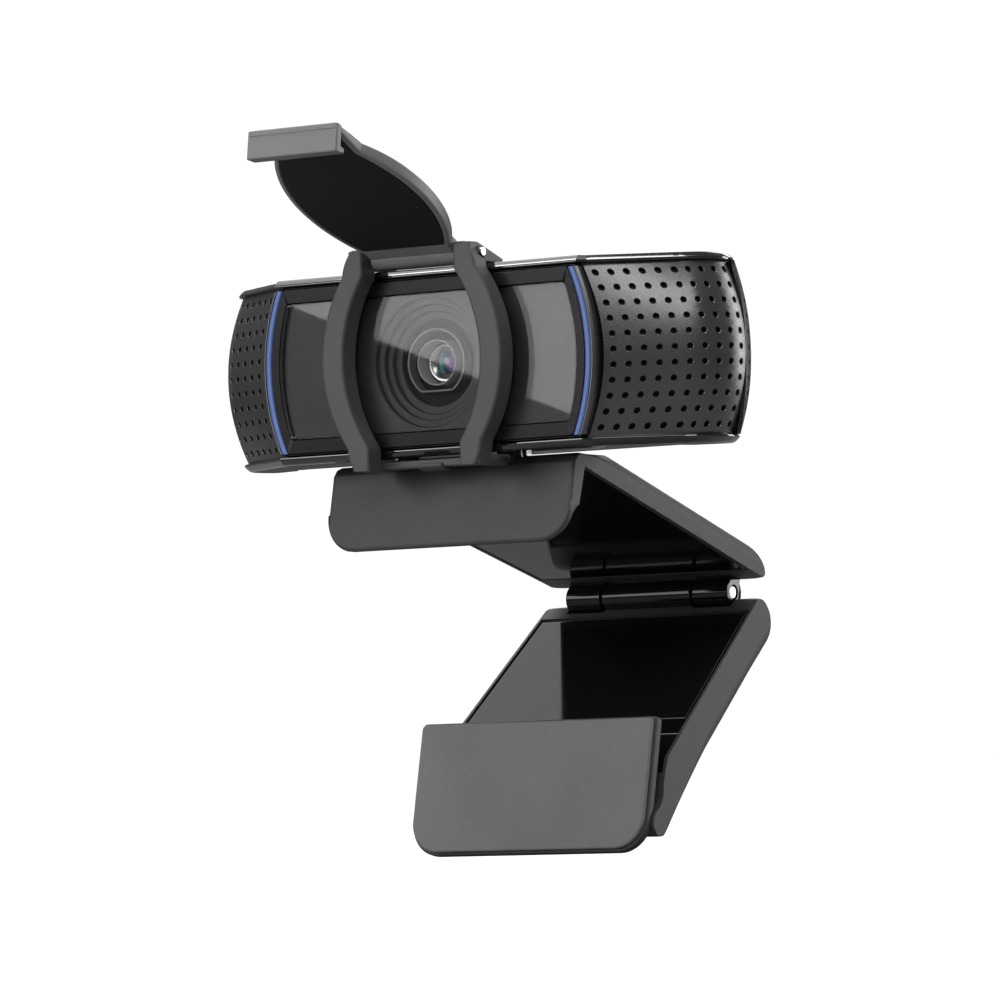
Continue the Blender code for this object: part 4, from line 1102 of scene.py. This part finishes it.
def build_arm():
    shell = loft(across(arm_section, lower_half_width))
    sunk = LINER_THICK + GAP
    tools = [lining(lower_point, lower_half_width, cover_rows(0.4), RIM, sunk, lift=3.0, lean=0.5)]
    for side, _ in SIDES:
        room_x = lug_range(side, KNUCKLE_SPLIT_X - 0.15, KNUCKLE_END_X + GAP)
        tools.append(rod(HINGE_AXIS, KNUCKLE_RADIUS + 0.5, *room_x))
        slot_x = lug_range(side, FOOT_LUG[0] - GAP, FOOT_LUG[1] + GAP)
        slot = [lower_point(a, h) for a, h in box_outline((-4, -4), (2.5, 5))]
        tools.append(prism(slot, "X", *slot_x))
    shell = cut(shell, *tools)
    inner = KNUCKLE_SPLIT_X - 0.15
    finish(knuckle(-inner, inner), "arm_knuckle", "lower_arm", "gloss_black")
    room = [insert_ring(INSERT_RADIUS + GAP, LOWER_BACK + h) for h in (-2, 5.55)]
    shell = cut(shell, rod(HINGE_AXIS, KNUCKLE_RADIUS, -inner, inner),
                rod(FOOT_AXIS, FOOT_PIN_BORE, -20.6, 20.6), loft(room))
    finish(shell, "lower_arm_casing", "lower_arm", "dark_grey_plastic", "lower_arm_shell", sharp=32)
    cover = lining(lower_point, lower_half_width, cover_rows(0.0), RIM + GAP, LINER_THICK, lean=0.5)
    finish(soften(cover, 0.22, 3, 20.0), "arm_cover", "lower_arm", "gloss_black", "lower_arm_cover")
    build_insert()


def insert_ring(radius, height):
    points = []
    for turn in spaced(0, 2 * math.pi, 48)[:-1]:
        y, z = lower_point(INSERT_S + radius * math.sin(turn), height)
        points.append((radius * math.cos(turn), y, z))
    return points


def build_insert():
    """The brass insert, with a chamfered mouth and the thread's grooves inside."""
    low, high = LOWER_BACK + 0.05, LOWER_BACK + 5.2
    floor = high - 0.8
    profile = [(INSERT_RADIUS, high), (INSERT_RADIUS, low + 0.2), (INSERT_RADIUS - 0.2, low),
               (THREAD_RADIUS + 0.6, low), (THREAD_RADIUS, low + 0.5)]
    height = low + 0.5
    while height + THREAD_PITCH < floor:
        profile += [(THREAD_RADIUS + 0.5, height + THREAD_PITCH / 2), (THREAD_RADIUS, height + THREAD_PITCH)]
        height += THREAD_PITCH
    profile += [(THREAD_RADIUS, floor), (0.01, floor), (0.01, high)]
    insert = loft([insert_ring(r, h) for r, h in profile], "wrap")
    finish(insert, "threaded_insert", "lower_arm", "brass_insert", "tripod_insert")


# ---- foot

def foot_loop(inset, height):
    half = FOOT_HALF_WIDTH - inset
    low, high = FOOT_BOTTOM_S + inset, FOOT_TOP_S - inset
    big, small = CORNER_ROUND - inset * 0.5, FOOT_TOP_CORNER
    outline = arc((-half + big, low + big), big, 180, 270, 14)
    outline += arc((half - big, low + big), big, 270, 360, 14)
    outline += arc((half - small, high - small), small, 0, 90, 8)
    outline += arc((-half + small, high - small), small, 90, 180, 8)
    return [(x, *foot_point(s, height)) for x, s in outline]


def build_foot():
    pad_back = FOOT_FACE - FOOT_PAD_THICK
    levels = [(0.4, pad_back), (0.4, FOOT_FACE - 0.3), (0.46, FOOT_FACE - 0.14), (0.58, FOOT_FACE - 0.04),
              (0.75, FOOT_FACE)]
    pad = loft([foot_loop(i, h) for i, h in levels])
    finish(pad, "foot_grip_pad", "foot", "grey_soft_pad", "foot_pad", sharp=50)
    front, back = pad_back - 0.15, pad_back - 0.15 - FOOT_SHELL_THICK
    levels = [(0.7, back), (0.3, back + 0.15), (0.08, back + 0.5), (0.0, back + 0.9), (0.0, front - 0.3),
              (0.08, front - 0.1), (0.25, front)]
    shell = loft([foot_loop(i, h) for i, h in levels])
    shell = cut(shell, rod(FOOT_AXIS, TIP_RADIUS + 0.45, -23, 23))
    lugs = []
    neck = [foot_point(a, h) for a, h in ((-1.7, 0.0), (1.7, 0.0), (1.9, 2.6), (-1.9, 2.6))]
    for side, _ in SIDES:
        lug_x = lug_range(side, *FOOT_LUG)
        lugs.append(prism(neck, "X", *lug_x))
        lugs.append(soften(rod(FOOT_AXIS, 1.8, *lug_x), 0.2, 2))
    shell = cut(join(shell, *lugs), rod(FOOT_AXIS, FOOT_PIN_BORE, -15, 15))
    finish(shell, "foot_casing", "foot", "dark_grey_plastic", "foot_shell", sharp=40)


# ---- kept CAD nodes

KEPT_NODES = {
    "steel": ("main_hinge_pin", "tilt_axle", "friction_washer_left", "friction_washer_right", "tilt_bracket",
              "bracket_screw_1", "bracket_screw_2", "shutter_pin", "foot_hinge_pin"),
    "microphone": ("microphone_left", "microphone_right"),
    "matte_black": ("lens_barrel", "lens_holder"),
    "sensor": ("image_sensor",),
    "circuit_board": ("sensor_board", "main_board"),
}


def finish_kept_nodes():
    for look, names in KEPT_NODES.items():
        for name in names:
            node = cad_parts[name]
            node.data.materials.clear()
            node.data.materials.append(LOOKS[look])


# ---- floor, light and camera

def build_floor():
    """A wide floor just below the foot, which glows for the camera alone so that it stays white far away."""
    steps = 12
    mesh = bpy.data.meshes.new("floor")
    places, z = spaced(-FLOOR_HALF, FLOOR_HALF, steps), CAD_LOW.z - FLOOR_DROP
    grid = [(x, y, z) for y in places for x in places]
    count = steps + 1
    faces = [(r * count + c, r * count + c + 1, (r + 1) * count + c + 1, (r + 1) * count + c)
             for r in range(steps) for c in range(steps)]
    mesh.from_pydata(grid, [], faces)
    floor = add_object("floor", mesh)
    made = moulded(grey(0.22), 0.7, 4.0, 0.0, 0.01)
    made.name = "pale_floor"
    tree = made.node_tree
    path = add_node(tree, "LightPath")
    glow = add_node(tree, "Math", {0: path.outputs["Is Camera Ray"], 1: FLOOR_GLOW}, operation="MULTIPLY")
    feed(tree, tree.nodes["Principled BSDF"],
         {"Emission Strength": glow.outputs["Value"], "Emission Color": (1, 1, 1, 1)})
    mesh.materials.append(made)


def build_world():
    """A white surround for the camera, and a soft grey one for the light."""
    world = bpy.data.worlds.new("studio")
    world.use_nodes = True
    tree = world.node_tree
    path = add_node(tree, "LightPath")
    seen = path.outputs["Is Camera Ray"]
    level = add_node(tree, "MapRange", {"Value": seen, "To Min": WORLD_LIGHT, "To Max": WORLD_SEEN})
    feed(tree, tree.nodes["Background"], {"Color": (1, 1, 1, 1), "Strength": level.outputs["Result"]})
    bpy.context.scene.world = world


def softbox(name, position, aim, size, radiance, roll=0.0):
    """A rectangular softbox at a position in metres from the lens, aimed at another such point."""
    data = bpy.data.lights.new(name, "AREA")
    data.shape = "RECTANGLE"
    data.size, data.size_y = size
    data.energy = radiance * math.pi * size[0] * size[1]
    lamp = add_object(name, data)
    lamp.location = ORIGIN + Vector(position)
    turn = (Vector(aim) - Vector(position)).to_track_quat("-Z", "Y")
    lamp.rotation_mode = "QUATERNION"
    lamp.rotation_quaternion = turn @ Matrix.Rotation(roll, 3, "Z").to_quaternion()
    lamp.visible_camera = False


def build_lights():
    softbox("top_box", (0.1, -0.1, 0.7), (0, 0, 0), (0.9, 0.4), 1.0)
    card_aim = [c + d for c, d in zip(WINDOW_CARD, WINDOW_CARD_FACING)]
    softbox("window_card", WINDOW_CARD, card_aim, (0.5, 0.35), 3.6, WINDOW_CARD_ROLL)
    softbox("front_fill", (0.386, -0.668, 0.464), (0.02, 0, 0), (0.65, 0.26), 3.7)
    softbox("right_strip", (0.36, 0.5, 0.03), (0, 0, -0.02), (0.25, 0.6), 4.2)
    softbox("rim_strip", (-0.15, -0.01, 0.65), (-0.15, -0.01, 0), (0.6, 0.18), 8.0)
    softbox("left_top_box", (-0.45, 0.21, 0.65), (0, 0, -0.03), (0.5, 0.5), 1.3)
    softbox("back_box", (-0.3, 0.6, 0.4), (0, 0, 0), (0.5, 0.4), 2.0)


def build_camera():
    a, e, roll = CAMERA_AZIMUTH, CAMERA_ELEVATION, CAMERA_ROLL
    back = Vector((math.sin(a) * math.cos(e), -math.cos(a) * math.cos(e), math.sin(e)))
    level_right = Vector((math.cos(a), math.sin(a), 0))
    level_up = back.cross(level_right)
    right = level_right * math.cos(roll) + level_up * math.sin(roll)
    up = level_up * math.cos(roll) - level_right * math.sin(roll)
    data = bpy.data.cameras.new("camera")
    data.lens = CAMERA_LENS
    data.sensor_width = 36.0
    camera = add_object("camera", data)
    turn = Matrix((right, up, back)).transposed().to_4x4()
    camera.matrix_world = Matrix.Translation(place(*CAMERA_TARGET) + back * CAMERA_DISTANCE * MM) @ turn
    bpy.context.scene.camera = camera


# ---- assembly

def main():
    build_camera()
    build_wings()
    build_covers()
    build_rear()
    build_front()
    build_mask()
    build_well()
    build_lens()
    build_shutter_frame()
    build_lid()
    build_jaw()
    build_arm()
    build_foot()
    finish_kept_nodes()
    build_floor()
    build_world()
    build_lights()
    bpy.context.scene.view_settings.view_transform = "Standard"


main()
bpy.context.view_layer.update()
